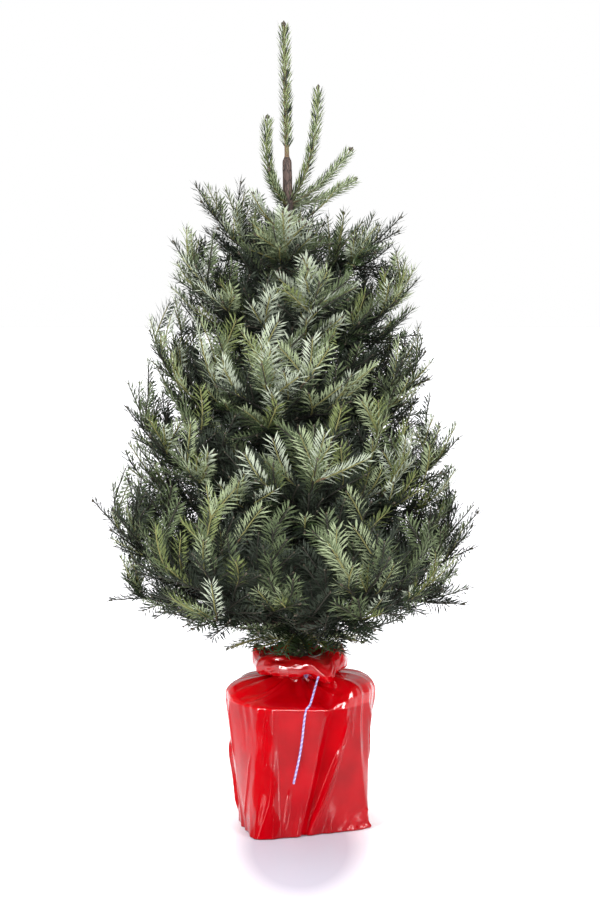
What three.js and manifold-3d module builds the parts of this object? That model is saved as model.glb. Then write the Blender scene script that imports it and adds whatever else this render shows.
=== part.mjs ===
// A young fir in a pot, sold as a Christmas tree. The pot stands in glossy film that is tied round the
// stem with a string, and the film's free edge flares out above the tie as a ruff.
// Millimetres, +X to the tree's right, +Y away from its front, +Z up, origin under the middle of the pot.
import * as THREE from 'three';
import { mergeVertices } from 'three/addons/utils/BufferGeometryUtils.js';
import Module from 'manifold-3d';

const wasm = await Module();
wasm.setup();

// Driving dimensions, in millimetres and degrees.
const gap = 0.4; // left between neighbours, so that no two solids touch
const totalHeight = 1363;

const pot = { baseRadius: 102, rimRadius: 125, height: 216, rimWidth: 6, soilBelowRim: 14, sides: 26 };
const neck = { radius: 42, height: 258, trunkHole: 27 };
const shoulder = { bulge: [[126, 226], [117, 248], [76, 260]] }; // the film from the rim over to the neck
const ruff = {
  foot: 268, flareRadius: 78, flareHeight: 278, top: 294, topRadius: 72, // its outside
  mouthRadius: 46, mouthHeight: 290, throatHeight: 278, // its inside, down towards the trunk
  sides: 22,
};
const tie = { radius: 43.5, thickness: 3, swell: 1, knot: 3, azimuth: 285, sides: 20 };
const tail = {
  thickness: 2.4,
  clear: 2.7, // from the film to the string's axis
  overShoulder: [275, 280, 293], // azimuths over the film's shoulder, from the rim to the neck
  rim: { azimuth: 273.7, drop: 8 },
  end: { azimuth: 264.8, height: 92, sag: 2.5 },
  steps: 16,
  sides: 6,
};

// The loose film round the foot of the pot: bunched into one corner at the front left and one at the right.
const filmFoot = {
  top: 66, clear: 1, thickness: 2.2, sides: 40,
  fade: 4, // the corners run out this far above the top
  corners: [{ azimuth: 243, reach: 158 }, { azimuth: 333, reach: 130 }],
};

const soil = pot.height - pot.soilBelowRim;
const trunk = {
  footRadius: 24, // root flare, at the flat cut on the soil
  flareHeight: 38,
  midFlare: { share: 0.4, swell: 1.14 }, // part of the flare's height, and its girth against the trunk above
  radius: 16, // just above the flare
  topRadius: 7.5, // under the leader
  middle: 700,
  leaderFoot: 1138, // where last year's wood ends
  leaderStep: 8, // it thins to the leader over this height
  leaderRadius: 3.8,
  tipRadius: 2.4,
  tipHeight: 6,
  lean: 1.35, // to the left
  sides: 10,
};

// One tier is one year's whorl. A bough's tip is given by its azimuth, its reach from the trunk and its height.
const tiers = [
  {
    whorl: 930, limbRadius: 4.2, halfSector: 42, girth: 0.25, boughs: {
      left: { azimuth: 172, reach: 158, tip: 1092 },
      right: { azimuth: 8, reach: 188, tip: 1040 },
      front: { azimuth: 264, reach: 118, tip: 1040 },
      back: { azimuth: 86, reach: 130, tip: 1062 },
    },
  },
  {
    whorl: 800, limbRadius: 5, halfSector: 42, girth: 0.25, boughs: {
      left: { azimuth: 191, reach: 202, tip: 990 },
      right: { azimuth: -11, reach: 212, tip: 930 },
      front: { azimuth: 284, reach: 172, tip: 928 },
      back: { azimuth: 100, reach: 208, tip: 950 },
    },
  },
  {
    whorl: 655, limbRadius: 5.8, halfSector: 42, girth: 0.24, boughs: {
      left: { azimuth: 168, reach: 244, tip: 812 },
      right: { azimuth: 14, reach: 236, tip: 808 },
      front: { azimuth: 256, reach: 216, tip: 800 },
      back: { azimuth: 76, reach: 238, tip: 800 },
    },
  },
  {
    whorl: 500, limbRadius: 6.6, halfSector: 42, girth: 0.22, boughs: {
      left: { azimuth: 188, reach: 288, tip: 720 },
      right: { azimuth: -8, reach: 276, tip: 664 },
      front: { azimuth: 277, reach: 256, tip: 652 },
      back: { azimuth: 99, reach: 282, tip: 670 },
    },
  },
  {
    whorl: 338, limbRadius: 7.4, halfSector: 33, girth: 0.17, boughs: {
      left: { azimuth: 180, reach: 346, tip: 556 },
      right: { azimuth: 4, reach: 306, tip: 532 },
      front_left: { azimuth: 237, reach: 306, tip: 500 },
      front_right: { azimuth: 301, reach: 290, tip: 490 },
      back: { azimuth: 92, reach: 322, tip: 515 },
    },
  },
];
const bareShare = 0.3; // of a bough's reach, from the trunk to its foliage
const limbTaper = 0.72;
const limbSides = 6;

// The shoots of one spray: how far each turns aside (as a share of the half sector), how far out it reaches and
// how high it climbs (as shares of its bough's), where on the bough it starts, and how thick its needles make it.
const sprayShoots = [
  { turn: 0, reach: 1, climb: 1, start: 0, girth: 1 },
  { turn: -0.5, reach: 0.97, climb: 0.72, start: 0.1, girth: 1 },
  { turn: 0.52, reach: 0.94, climb: 0.8, start: 0.06, girth: 1 },
  { turn: -1, reach: 0.88, climb: 0.45, start: 0.02, girth: 0.9 },
  { turn: 1, reach: 0.9, climb: 0.52, start: 0.04, girth: 0.9 },
  { turn: 0.2, reach: 0.5, climb: 1, start: 0, girth: 1.4 },
  { turn: -0.1, reach: 0.93, climb: 0.2, start: 0.1, girth: 0.9 },
];
const shoot = { sag: 0.09, sides: 5 };
const spray = { leastGirth: 5, sag: 0.054, unevenness: 4 };

// The whorl under the leader is single shoots, needled almost to the trunk. Each first goes out to its knee.
const topWhorl = 1056;
const topLimbRadius = 3;
const topShoots = {
  left: { azimuth: 192, knee: [22, 1076], reach: 36, tip: 1207, girth: 17 },
  right: { azimuth: 342, knee: [22, 1084], reach: 54, tip: 1255, girth: 15 },
  low_right: { azimuth: 8, knee: [34, 1070], reach: 110, tip: 1153, girth: 15 },
  back_right: { azimuth: 28, knee: [40, 1056], reach: 134, tip: 1104, girth: 15 },
  front: { azimuth: 238, knee: [24, 1062], reach: 62, tip: 1116, girth: 17 },
};
const leaderSpray = { foot: 1146, girth: 14, sides: 8 };

const red = new THREE.MeshStandardMaterial({ color: 0xc8141c, roughness: 0.2, metalness: 0 });
const violet = new THREE.MeshStandardMaterial({ color: 0x8f86cf, roughness: 0.6, metalness: 0 });
const bark = new THREE.MeshStandardMaterial({ color: 0x6b584a, roughness: 0.85, metalness: 0 });
const needles = new THREE.MeshStandardMaterial({ color: 0x5d6e5a, roughness: 0.7, metalness: 0 });
const leaderNeedles = new THREE.MeshStandardMaterial({ color: 0x7f8a5a, roughness: 0.7, metalness: 0 });

// Where the trunk's axis is at a height.
function trunkAt(height) {
  const shift = Math.tan(THREE.MathUtils.degToRad(trunk.lean)) * (height - soil);
  return new THREE.Vector3(-shift, 0, height);
}

function trunkRadiusAt(height) {
  const share = (height - soil - trunk.flareHeight) / (trunk.leaderFoot - soil - trunk.flareHeight);
  return THREE.MathUtils.lerp(trunk.radius, trunk.topRadius, THREE.MathUtils.clamp(share, 0, 1));
}

// The point at an azimuth and reach from where the trunk's axis is at foot, at a height.
function around(azimuth, reach, height, foot = height) {
  const turn = THREE.MathUtils.degToRad(azimuth);
  const point = trunkAt(foot);
  return new THREE.Vector3(point.x + reach * Math.cos(turn), point.y + reach * Math.sin(turn), height);
}

// A round solid from [radius, height] pairs that start and end on the axis or close on themselves, with +Z up.
function turned(profile, sides) {
  const points = profile.map(([radius, height]) => new THREE.Vector2(radius, height));
  return new THREE.LatheGeometry(points, sides).rotateX(Math.PI / 2);
}

function ring(profile, sides) {
  return turned([...profile, profile[0]], sides);
}

// Stands a solid that was turned about +Z on a start point, with its axis towards an end point.
function aim(geometry, start, end) {
  const along = end.clone().sub(start).normalize();
  const turn = new THREE.Quaternion().setFromUnitVectors(new THREE.Vector3(0, 0, 1), along);
  return geometry.applyQuaternion(turn).translate(start.x, start.y, start.z);
}

// Moves every corner of a geometry by what move returns for its place.
function displace(geometry, move) {
  const places = geometry.getAttribute('position');
  const place = new THREE.Vector3();
  for (let i = 0; i < places.count; i += 1) {
    place.fromBufferAttribute(places, i);
    const shift = move(place);
    places.setXYZ(i, place.x + shift.x, place.y + shift.y, place.z + shift.z);
  }
  return geometry;
}

function solidOf(geometry) {
  const bare = new THREE.BufferGeometry();
  bare.setAttribute('position', geometry.getAttribute('position'));
  bare.setIndex(geometry.index);
  const merged = mergeVertices(bare, 1e-3);
  return new wasm.Manifold(new wasm.Mesh({
    numProp: 3,
    vertProperties: merged.getAttribute('position').array,
    triVerts: new Uint32Array(merged.index.array),
  }));
}

function geometryOf(solid) {
  const mesh = solid.getMesh();
  const geometry = new THREE.BufferGeometry();
  geometry.setAttribute('position', new THREE.BufferAttribute(mesh.vertProperties, 3));
  geometry.setIndex(new THREE.BufferAttribute(mesh.triVerts, 1));
  geometry.computeVertexNormals();
  return geometry;
}

// The trunk, from the flat cut on the soil to the leader's tip, grown outwards by margin where it cuts another.
function trunkGeometry(margin = 0) {
  const sections = [
    [trunk.footRadius, soil + gap],
    [trunk.radius * trunk.midFlare.swell, soil + trunk.midFlare.share * trunk.flareHeight],
    [trunk.radius, soil + trunk.flareHeight],
    [trunkRadiusAt(trunk.middle), trunk.middle],
    [trunk.topRadius, trunk.leaderFoot - trunk.leaderStep],
    [trunk.leaderRadius, trunk.leaderFoot],
    [trunk.tipRadius, totalHeight - trunk.tipHeight],
  ];
  const profile = sections.map(([radius, height]) => [radius + margin, height]);
  const upright = turned([[0, soil + gap - margin], ...profile, [0, totalHeight + margin]], trunk.sides);
  return displace(upright, (place) => new THREE.Vector3(trunkAt(place.z).x, 0, 0));
}

function limbGeometry(start, end, radius, margin = 0) {
  const length = start.distanceTo(end) + margin;
  const profile = [[0, 0], [radius + margin, 0], [radius * limbTaper + margin, length], [0, length]];
  return aim(turned(profile, limbSides), start, end);
}

// A needled shoot's envelope: widest a third of the way up, pointed at both ends, and sagging by a share of its
// length before it turns up.
function shootGeometry(start, end, girth, margin = 0, sag = 0, sides = shoot.sides) {
  const length = start.distanceTo(end);
  const along = end.clone().sub(start).normalize();
  const profile = [
    [0, -margin],
    [girth + margin, 0.3 * length],
    [0.66 * girth + margin, 0.78 * length],
    [0, length + margin],
  ];
  return displace(aim(turned(profile, sides), start, end), (place) => {
    const share = THREE.MathUtils.clamp(place.clone().sub(start).dot(along) / length, 0, 1);
    return new THREE.Vector3(0, 0, -sag * length * 4 * share * (1 - share));
  });
}

// Pushes a solid's corners about by their place, so that no two masses of foliage are alike.
function uneven(geometry, depth) {
  return displace(geometry, (place) => new THREE.Vector3(
    Math.sin(place.y / 23 - place.z / 17),
    Math.sin(place.x / 19 + place.z / 31),
    Math.sin(place.x / 27 - place.y / 15),
  ).multiplyScalar(depth));
}

function limbOf(tier, bough) {
  const start = around(bough.azimuth, 0.5 * trunkRadiusAt(tier.whorl), tier.whorl);
  const tip = around(bough.azimuth, bough.reach, bough.tip, tier.whorl);
  const end = start.clone().lerp(tip, bareShare);
  end.z -= 4 * shoot.sag * bareShare * (1 - bareShare) * start.distanceTo(tip);
  return { start, end, tip, radius: tier.limbRadius };
}

// Foliage of one bough: a fan of shoots that grow on from the end of its limb.
function sprayOf(tier, bough, margin = 0) {
  const limb = limbOf(tier, bough);
  const solids = sprayShoots.map((s) => {
    const turn = bough.azimuth + s.turn * tier.halfSector;
    const height = tier.whorl + s.climb * (bough.tip - tier.whorl);
    const tip = around(turn, s.reach * bough.reach, height, tier.whorl);
    const start = limb.end.clone().lerp(limb.tip, s.start);
    start.addScaledVector(limb.end.clone().sub(limb.start).normalize(), gap);
    const girth = s.girth * tier.girth * start.distanceTo(tip) + spray.leastGirth;
    return solidOf(uneven(shootGeometry(start, tip, girth, margin, spray.sag), spray.unevenness));
  });
  return wasm.Manifold.union(solids);
}

function largest(solid) {
  return solid.decompose().sort((a, b) => b.volume() - a.volume())[0];
}

const tree = new THREE.Group();

function place(name, geometry, material) {
  const mesh = new THREE.Mesh(geometry, material);
  mesh.name = name;
  tree.add(mesh);
}

// The pot with its root ball, in its film: a flat underside, straight flared sides and a rim above the soil.
place('pot', turned([
  [0, 0],
  [pot.baseRadius, 0],
  [pot.rimRadius, pot.height],
  [pot.rimRadius - pot.rimWidth, pot.height],
  [pot.rimRadius - pot.rimWidth - 1, soil],
  [0, soil],
], pot.sides), red);

// How far the loose film stands out from the pot's foot at an azimuth: each corner is a straight-sided wedge.
function footReach(azimuth, wall) {
  const sides = filmFoot.corners.map((corner) => {
    const turn = THREE.MathUtils.degToRad(azimuth - corner.azimuth);
    const opening = Math.acos(wall / corner.reach);
    const off = Math.abs(Math.atan2(Math.sin(turn), Math.cos(turn)));
    return off < opening ? wall / Math.cos(opening - off) : wall;
  });
  return Math.max(...sides);
}

function footRing() {
  const wallTop = THREE.MathUtils.lerp(pot.baseRadius, pot.rimRadius, filmFoot.top / pot.height);
  const inner = filmFoot.clear;
  const outer = inner + filmFoot.thickness;
  const upright = ring([
    [pot.baseRadius + inner, filmFoot.clear],
    [pot.baseRadius + outer, filmFoot.clear],
    [wallTop + outer, filmFoot.top],
    [wallTop + inner, filmFoot.top],
  ], filmFoot.sides);
  return displace(upright, (place) => {
    const radius = Math.hypot(place.x, place.y);
    const wall = THREE.MathUtils.lerp(pot.baseRadius, pot.rimRadius, place.z / pot.height);
    if (radius < wall + 0.5 * (inner + outer)) return new THREE.Vector3();
    const azimuth = THREE.MathUtils.radToDeg(Math.atan2(place.y, place.x));
    const fade = 1 - place.z / (filmFoot.top + filmFoot.fade);
    const push = (footReach(azimuth, wall) - wall) * fade / radius;
    return new THREE.Vector3(push * place.x, push * place.y, 0);
  });
}

place('film_foot', footRing(), red);

place('film_shoulder', ring([
  [neck.trunkHole, pot.height + gap],
  [pot.rimRadius, pot.height + gap],
  ...shoulder.bulge,
  [neck.radius, neck.height],
  [neck.trunkHole, neck.height],
], pot.sides), red);

place('film_ruff', ring([
  [neck.trunkHole, ruff.foot],
  [neck.radius, ruff.foot],
  [ruff.flareRadius, ruff.flareHeight],
  [ruff.topRadius, ruff.top],
  [ruff.mouthRadius, ruff.mouthHeight],
  [neck.trunkHole, ruff.throatHeight],
], ruff.sides), red);

// The string: a band round the neck, and a tail that hangs from the knot over the rim.
place('tie_band', ring([
  [tie.radius - tie.thickness, neck.height + gap],
  [tie.radius, neck.height + gap],
  [tie.radius + tie.swell, (neck.height + ruff.foot) / 2],
  [tie.radius, ruff.foot - gap],
  [tie.radius - tie.thickness, ruff.foot - gap],
], tie.sides), violet);

function tailRoute() {
  const { clear, end, rim } = tail;
  const knot = around(tie.azimuth, tie.radius + tie.knot + clear, (neck.height + ruff.foot) / 2, soil);
  const overShoulder = shoulder.bulge.map(([radius, height], i) => {
    return around(tail.overShoulder[i], radius + clear, height + clear, soil);
  });
  const side = around(rim.azimuth, pot.rimRadius + clear, pot.height - rim.drop, soil);
  const endRadius = THREE.MathUtils.lerp(pot.baseRadius, pot.rimRadius, end.height / pot.height);
  const foot = around(end.azimuth, endRadius + clear, end.height, soil);
  const middle = side.clone().lerp(foot, 0.5);
  middle.x += end.sag;
  return new THREE.CatmullRomCurve3([knot, ...overShoulder.reverse(), side, middle, foot], false, 'centripetal');
}

function roundShape(radius, sides) {
  const corners = Array.from({ length: sides }, (_, i) => {
    const turn = i * 2 * Math.PI / sides;
    return new THREE.Vector2(radius * Math.cos(turn), radius * Math.sin(turn));
  });
  return new THREE.Shape(corners);
}

place('tie_tail', new THREE.ExtrudeGeometry(roundShape(tail.thickness / 2, tail.sides), {
  extrudePath: tailRoute(), steps: tail.steps, bevelEnabled: false,
}), violet);

place('trunk', trunkGeometry(), bark);

// Limbs and foliage. Each mass of foliage is cut back from the trunk, the limbs and the masses before it.
const cutters = [solidOf(trunkGeometry(gap))];
const masses = [];

// A limb starts inside the trunk and is cut back to its bark.
function addLimb(name, start, end, radius) {
  const whole = solidOf(limbGeometry(start, end, radius));
  place(name, geometryOf(largest(whole.subtract(wasm.Manifold.union(cutters)))), bark);
  cutters.push(solidOf(limbGeometry(start, end, radius, gap)));
}

for (const [side, top] of Object.entries(topShoots)) {
  const start = around(top.azimuth, 0.5 * trunkRadiusAt(topWhorl), topWhorl);
  const knee = around(top.azimuth, top.knee[0], top.knee[1], topWhorl);
  const tip = around(top.azimuth, top.reach, top.tip, topWhorl);
  addLimb(`top_bough_${side}`, start, knee, topLimbRadius);
  const leaf = knee.clone().addScaledVector(tip.clone().sub(knee).normalize(), gap);
  masses.push({
    name: `top_foliage_${side}`,
    solid: solidOf(shootGeometry(leaf, tip, top.girth)),
    grown: solidOf(shootGeometry(leaf, tip, top.girth, gap)),
  });
}

tiers.forEach((tier, i) => {
  for (const [side, bough] of Object.entries(tier.boughs)) {
    const limb = limbOf(tier, bough);
    addLimb(`bough_${i + 1}_${side}`, limb.start, limb.end, limb.radius);
    masses.push({
      name: `foliage_${i + 1}_${side}`,
      solid: sprayOf(tier, bough),
      grown: sprayOf(tier, bough, gap),
    });
  }
});

const leaderFoot = trunkAt(leaderSpray.foot);
const leaderTip = trunkAt(totalHeight - 3);
masses.push({
  name: 'leader_foliage',
  solid: solidOf(shootGeometry(leaderFoot, leaderTip, leaderSpray.girth, 0, 0, leaderSpray.sides)),
  grown: solidOf(shootGeometry(leaderFoot, leaderTip, leaderSpray.girth, gap, 0, leaderSpray.sides)),
});

masses.forEach((mass, i) => {
  const others = [...cutters, ...masses.slice(0, i).map((before) => before.grown)];
  const cut = largest(mass.solid.subtract(wasm.Manifold.union(others)));
  place(mass.name, geometryOf(cut), mass.name.startsWith('leader') ? leaderNeedles : needles);
});

export default tree;
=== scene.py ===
import math
import random

import bmesh
import bpy
import numpy as np
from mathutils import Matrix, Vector, noise
from mathutils.bvhtree import BVHTree


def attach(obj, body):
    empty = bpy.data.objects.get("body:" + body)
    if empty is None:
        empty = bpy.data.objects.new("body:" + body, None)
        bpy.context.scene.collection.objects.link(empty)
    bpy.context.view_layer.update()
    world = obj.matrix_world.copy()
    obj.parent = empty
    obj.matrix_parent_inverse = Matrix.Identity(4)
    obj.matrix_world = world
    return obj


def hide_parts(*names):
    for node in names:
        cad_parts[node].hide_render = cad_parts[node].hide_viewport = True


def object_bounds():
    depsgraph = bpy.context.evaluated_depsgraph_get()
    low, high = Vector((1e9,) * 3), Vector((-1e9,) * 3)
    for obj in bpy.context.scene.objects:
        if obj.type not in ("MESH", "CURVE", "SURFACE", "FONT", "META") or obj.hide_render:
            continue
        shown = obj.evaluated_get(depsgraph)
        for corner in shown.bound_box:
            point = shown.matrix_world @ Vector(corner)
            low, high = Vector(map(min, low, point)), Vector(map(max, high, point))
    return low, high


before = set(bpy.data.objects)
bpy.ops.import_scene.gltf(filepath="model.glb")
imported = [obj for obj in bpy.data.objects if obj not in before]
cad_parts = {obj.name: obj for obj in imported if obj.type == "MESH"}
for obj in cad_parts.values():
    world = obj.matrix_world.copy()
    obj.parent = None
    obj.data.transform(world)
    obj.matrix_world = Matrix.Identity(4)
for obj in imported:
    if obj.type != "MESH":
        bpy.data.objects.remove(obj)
cadLow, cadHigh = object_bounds()
mm = 0.001
up = np.array([0.0, 0.0, 1.0])
body = "root"


def unit(v):
    return v / np.maximum(np.linalg.norm(v, axis=-1, keepdims=True), 1e-12)


def square(v, axis):  # the part of v at right angles to axis, as a unit vector
    return unit(v - (v * axis).sum(-1, keepdims=True) * axis)


def smoothStep(low, high, value):
    t = np.clip((value - low) / (high - low), 0, 1)
    return t * t * (3 - 2 * t)


def linearColour(hexCode):  # sRGB hex to the linear values that a shader reads
    parts = [int(hexCode[i:i + 2], 16) / 255 for i in (1, 3, 5)]
    return (*[p / 12.92 if p <= 0.04045 else ((p + 0.055) / 1.055) ** 2.4 for p in parts], 1.0)


def addNode(tree, kind, settings=None, links=None):
    # settings are the node's own properties or input values, links are input name to (node, output)
    node = tree.nodes.new(kind)
    for name, value in (settings or {}).items():
        if name in node.inputs:
            node.inputs[name].default_value = value
        else:
            setattr(node, name, value)
    for name, (source, output) in (links or {}).items():
        tree.links.new(source.outputs[output], node.inputs[name])
    return node


def shaderOf(name, settings):
    material = bpy.data.materials.new(name)
    material.use_nodes = True
    shader = material.node_tree.nodes["Principled BSDF"]
    for socket, value in settings.items():
        shader.inputs[socket].default_value = value
    return material, material.node_tree, shader


def nodeMesh(name):
    # the node's corners, joined where its facets meet, and its polygons
    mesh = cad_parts[name].data
    places = np.empty(len(mesh.vertices) * 3)
    mesh.vertices.foreach_get("co", places)
    corners, index = np.unique(places.reshape(-1, 3).round(6), axis=0, return_inverse=True)
    index = index.reshape(-1)
    polygons = [[int(index[v]) for v in p.vertices] for p in mesh.polygons]
    return corners, polygons


def joinedMesh(name, verts, counts, loops, materials, slots=None, smooth=False):
    # a mesh from arrays: corners, corners per face, and the faces' corner numbers in a row
    mesh = bpy.data.meshes.new(name)
    mesh.vertices.add(len(verts))
    mesh.vertices.foreach_set("co", np.asarray(verts, np.float32).ravel())
    mesh.loops.add(len(loops))
    mesh.loops.foreach_set("vertex_index", np.asarray(loops, np.int32))
    counts = np.asarray(counts, np.int32)
    mesh.polygons.add(len(counts))
    mesh.polygons.foreach_set("loop_start", np.concatenate([[0], np.cumsum(counts)[:-1]]).astype(np.int32))
    mesh.polygons.foreach_set("loop_total", counts)
    for material in materials:
        mesh.materials.append(material)
    if slots is not None:
        mesh.polygons.foreach_set("material_index", np.asarray(slots, np.int32))
    mesh.polygons.foreach_set("use_smooth", np.full(len(counts), smooth))
    mesh.update(calc_edges=True)
    mesh.validate()
    piece = bpy.data.objects.new(name, mesh)
    bpy.context.scene.collection.objects.link(piece)
    return piece


def ringFaces(rows, columns):
    # the four corner numbers of every face between rings of corners, one ring after the other
    i, k = np.meshgrid(np.arange(rows - 1), np.arange(columns), indexing="ij")
    nextK = (k + 1) % columns
    here, above = i * columns, (i + 1) * columns
    return np.stack([here + k, here + nextK, above + nextK, above + k], -1)


def between(values, places, rows):
    # the row at each value, where places says which value each of the rows belongs to
    return np.stack([np.interp(values, places, rows[:, k]) for k in range(rows.shape[1])], -1)


def handOver(piece, slotName, *nodes):
    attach(piece, body)
    if nodes:
        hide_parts(*nodes)
    return piece


cameraSetup = {"distance": 3.6, "height": 0.95, "tiltDown": 4.9, "lens": 84.7}   # metres, degrees, mm
lightSetup = {
    "sky": (0.06, 0.6),       # the room's light from the front and from behind the tree
    "backdrop": 1.0,          # the white that the camera sees behind it
    "boxes": {                # softboxes, which the film mirrors: place, width and height, power
        "left": ((-2.6, -1.5, 0.9), (1.3, 2.4), 22),
        "right": ((2.6, -1.3, 1.0), (1.2, 2.4), 18),
        "stripLeft": ((-1.9, -2.3, 0.75), (0.4, 1.5), 76),
        "stripRight": ((2.0, -2.2, 0.75), (0.4, 1.5), 76),
        "stripOver": ((0.0, -2.3, 2.1), (2.4, 0.25), 54),
        "stripFront": ((0.0, -2.3, 1.36), (4.4, 0.42), 130),
    },                        # the strips only draw highlights
    "suns": {                 # lamps far off: azimuth they shine from, height, strength, width in degrees
        "keyLeft": (222, 40, 2.3, 16),
        "keyRight": (312, 36, 1.8, 16),
        "top": (150, 74, 1.5, 50),
    },
}
floorSetup = {
    "size": 30.0,                            # metres from the middle to each edge
    # the lilac by the pot is painted shade and reflection
    "paintedShadeByPot": "#c9cddb", "away": "#f6f5fa",
    "shade": {"Location": (0, 0.14, 0), "Scale": (2.6, 0.85, 1)},   # of the painted shade patch by the pot, where the floor doesn't glow
    "fade": (0.2, 0.42), "glow": 0.5,        # across the patch's edge, and how strongly the rest glows, painted light
}


def addCamera():
    camera = bpy.data.objects.new("camera", bpy.data.cameras.new("camera"))
    bpy.context.scene.collection.objects.link(camera)
    camera.data.lens = cameraSetup["lens"]
    camera.data.clip_end = 50
    camera.location = (0, -cameraSetup["distance"], cameraSetup["height"])
    camera.rotation_euler = (math.radians(90 - cameraSetup["tiltDown"]), 0, 0)
    bpy.context.scene.camera = camera


def addLights():
    world = bpy.data.worlds.new("studio")
    world.use_nodes = True
    tree = world.node_tree
    front, back = lightSetup["sky"]
    coordinates = addNode(tree, "ShaderNodeTexCoord")
    axes = addNode(tree, "ShaderNodeSeparateXYZ", links={"Vector": (coordinates, "Generated")})
    depth = addNode(tree, "ShaderNodeMapRange", {
        "From Min": -0.35, "From Max": 0.7, "To Min": front, "To Max": back}, {"Value": (axes, "Y")})
    sky = tree.nodes["Background"]
    tree.links.new(depth.outputs["Result"], sky.inputs["Strength"])
    sky.inputs["Color"].default_value = (1, 1, 1, 1)
    white = addNode(tree, "ShaderNodeBackground", {"Color": (1, 1, 1, 1), "Strength": lightSetup["backdrop"]})
    ray = addNode(tree, "ShaderNodeLightPath")
    mix = addNode(tree, "ShaderNodeMixShader")
    tree.links.new(ray.outputs["Is Camera Ray"], mix.inputs[0])
    tree.links.new(sky.outputs[0], mix.inputs[1])
    tree.links.new(white.outputs[0], mix.inputs[2])
    tree.links.new(mix.outputs[0], tree.nodes["World Output"].inputs["Surface"])
    bpy.context.scene.world = world
    target = Vector((0, 0, (cadLow.z + cadHigh.z) / 2))
    for name, (place, size, power) in lightSetup["boxes"].items():
        light = bpy.data.lights.new(name, "AREA")
        light.shape = "RECTANGLE"
        light.size, light.size_y = size
        light.energy = power
        lamp = bpy.data.objects.new(name, light)
        lamp.location = place
        lamp.visible_diffuse = not name.startswith("strip")
        lamp.visible_camera = False
        lamp.rotation_euler = (target - Vector(place)).to_track_quat("-Z", "Y").to_euler()
        bpy.context.scene.collection.objects.link(lamp)
    for name, (azimuth, height, strength, width) in lightSetup["suns"].items():
        light = bpy.data.lights.new(name, "SUN")
        light.energy = strength
        light.angle = math.radians(width)
        lamp = bpy.data.objects.new(name, light)
        azimuth, height = math.radians(azimuth), math.radians(height)
        towards = Vector((math.cos(azimuth) * math.cos(height), math.sin(azimuth) * math.cos(height),
                          math.sin(height)))
        lamp.rotation_euler = towards.to_track_quat("Z", "Y").to_euler()
        bpy.context.scene.collection.objects.link(lamp)
    bpy.context.scene.view_settings.view_transform = "Standard"


def addFloor():
    # painted board under a satin varnish: a faint lilac by the pot, painted shade and reflection, and a glow
    # further off, painted light that lifts it to plain white
    material, tree, shader = shaderOf("paintedBoard", {
        "Roughness": 0.3, "IOR": 1.4, "Emission Color": linearColour("#ffffff")})
    coordinates = addNode(tree, "ShaderNodeTexCoord")
    spot = addNode(tree, "ShaderNodeMapping", floorSetup["shade"], {"Vector": (coordinates, "Object")})
    distance = addNode(tree, "ShaderNodeVectorMath", {"operation": "LENGTH"}, {0: (spot, "Vector")})
    near, far = floorSetup["fade"]
    # painted light: the floor glows more the further it lies from the pot
    glow = addNode(tree, "ShaderNodeMapRange", {
        "From Min": near, "From Max": far, "To Min": 0.0, "To Max": floorSetup["glow"]},
        {"Value": (distance, "Value")})
    # painted shade and reflection: lilac by the pot, near white where it glows
    tint = addNode(tree, "ShaderNodeValToRGB", links={"Fac": (glow, "Result")})
    tint.color_ramp.elements[0].color = linearColour(floorSetup["paintedShadeByPot"])
    tint.color_ramp.elements[1].color = linearColour(floorSetup["away"])
    tint.color_ramp.elements[1].position = 0.4
    tree.links.new(tint.outputs["Color"], shader.inputs["Base Color"])
    tree.links.new(glow.outputs["Result"], shader.inputs["Emission Strength"])
    size = floorSetup["size"]
    corners = [(-size, -size, 0), (size, -size, 0), (size, size, 0), (-size, size, 0)]
    floor = joinedMesh("floor", corners, [4], [0, 1, 2, 3], [material])
    floor.location.z = cadLow.z - 0.5 * mm


addCamera()
addLights()
addFloor()
print("camera, lights and floor are up")


growth = {
    "seed": 11,
    "season": 76 * mm,          # one year's length of a vigorous shoot
    "nodeAngle": (36, 48),      # degrees between a side shoot and its parent
    "nodeShare": 0.62,          # of what its parent still grows beyond it
    "longestSide": 92 * mm,
    "shortestSide": 30 * mm,
    "stand": 4 * mm,            # how far a shoot may stand out of its mass
    "above": 46 * mm,           # and how far above it, where the next whorl's shadow begins
    "aboveTop": 12 * mm,        # the same for the highest whorl, which has sky over it
    "lift": 0.6,                # how strongly a side shoot turns up along its length
    "room": 18.5 * mm,          # the least space between a new shoot's tip and older wood
    "inset": 16 * mm,           # from the crown's outline to the tips of the shoots that close its gaps
    "openTop": 90 * mm,         # below the crown's top, where the inset begins to grow
    "shell": 150 * mm,          # how deep into the crown they still grow
    "massSpots": 1500,          # places tried for new shoots in each mass, and between the masses
    "gapSpots": 16000,
    "skirt": 30,                # short shoots from the trunk's foot, which hang over the film
    "skirtStart": (302, 334),   # mm: height on the trunk, length and height of the tip
    "skirtReach": (78, 128),
    "skirtTip": (299, 318),
    "bareTwigs": 16,            # old twigs that have lost their needles, low in the crown
    "fillReach": (32 * mm, 104 * mm),   # shortest and longest shoot that fills an open spot
    "fillLength": 66 * mm,      # the length it would rather have, and the angle to the wood it grows from
    "fillAngle": 42,
    "sidePoints": 6,            # points along a side shoot, and along a leading one
    "leadPoints": 14,
    "betweenStep": 14 * mm,     # along the trunk, between the small boughs of its bare lengths
    "betweenReach": 0.66,       # of the crown's radius there
}
rng = random.Random(growth["seed"])
dice = np.random.default_rng(growth["seed"])

trunkCorners, _ = nodeMesh("trunk")
trunkLevels = np.unique(trunkCorners[:, 2].round(4))
trunkRings = []
for level in trunkLevels:
    ring = trunkCorners[np.abs(trunkCorners[:, 2] - level) < 0.2 * mm]
    if len(ring) > 4:
        centre = ring.mean(0)
        trunkRings.append((*centre, np.linalg.norm((ring - centre)[:, :2], axis=1).mean()))
trunkRings = np.array(trunkRings)


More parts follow.
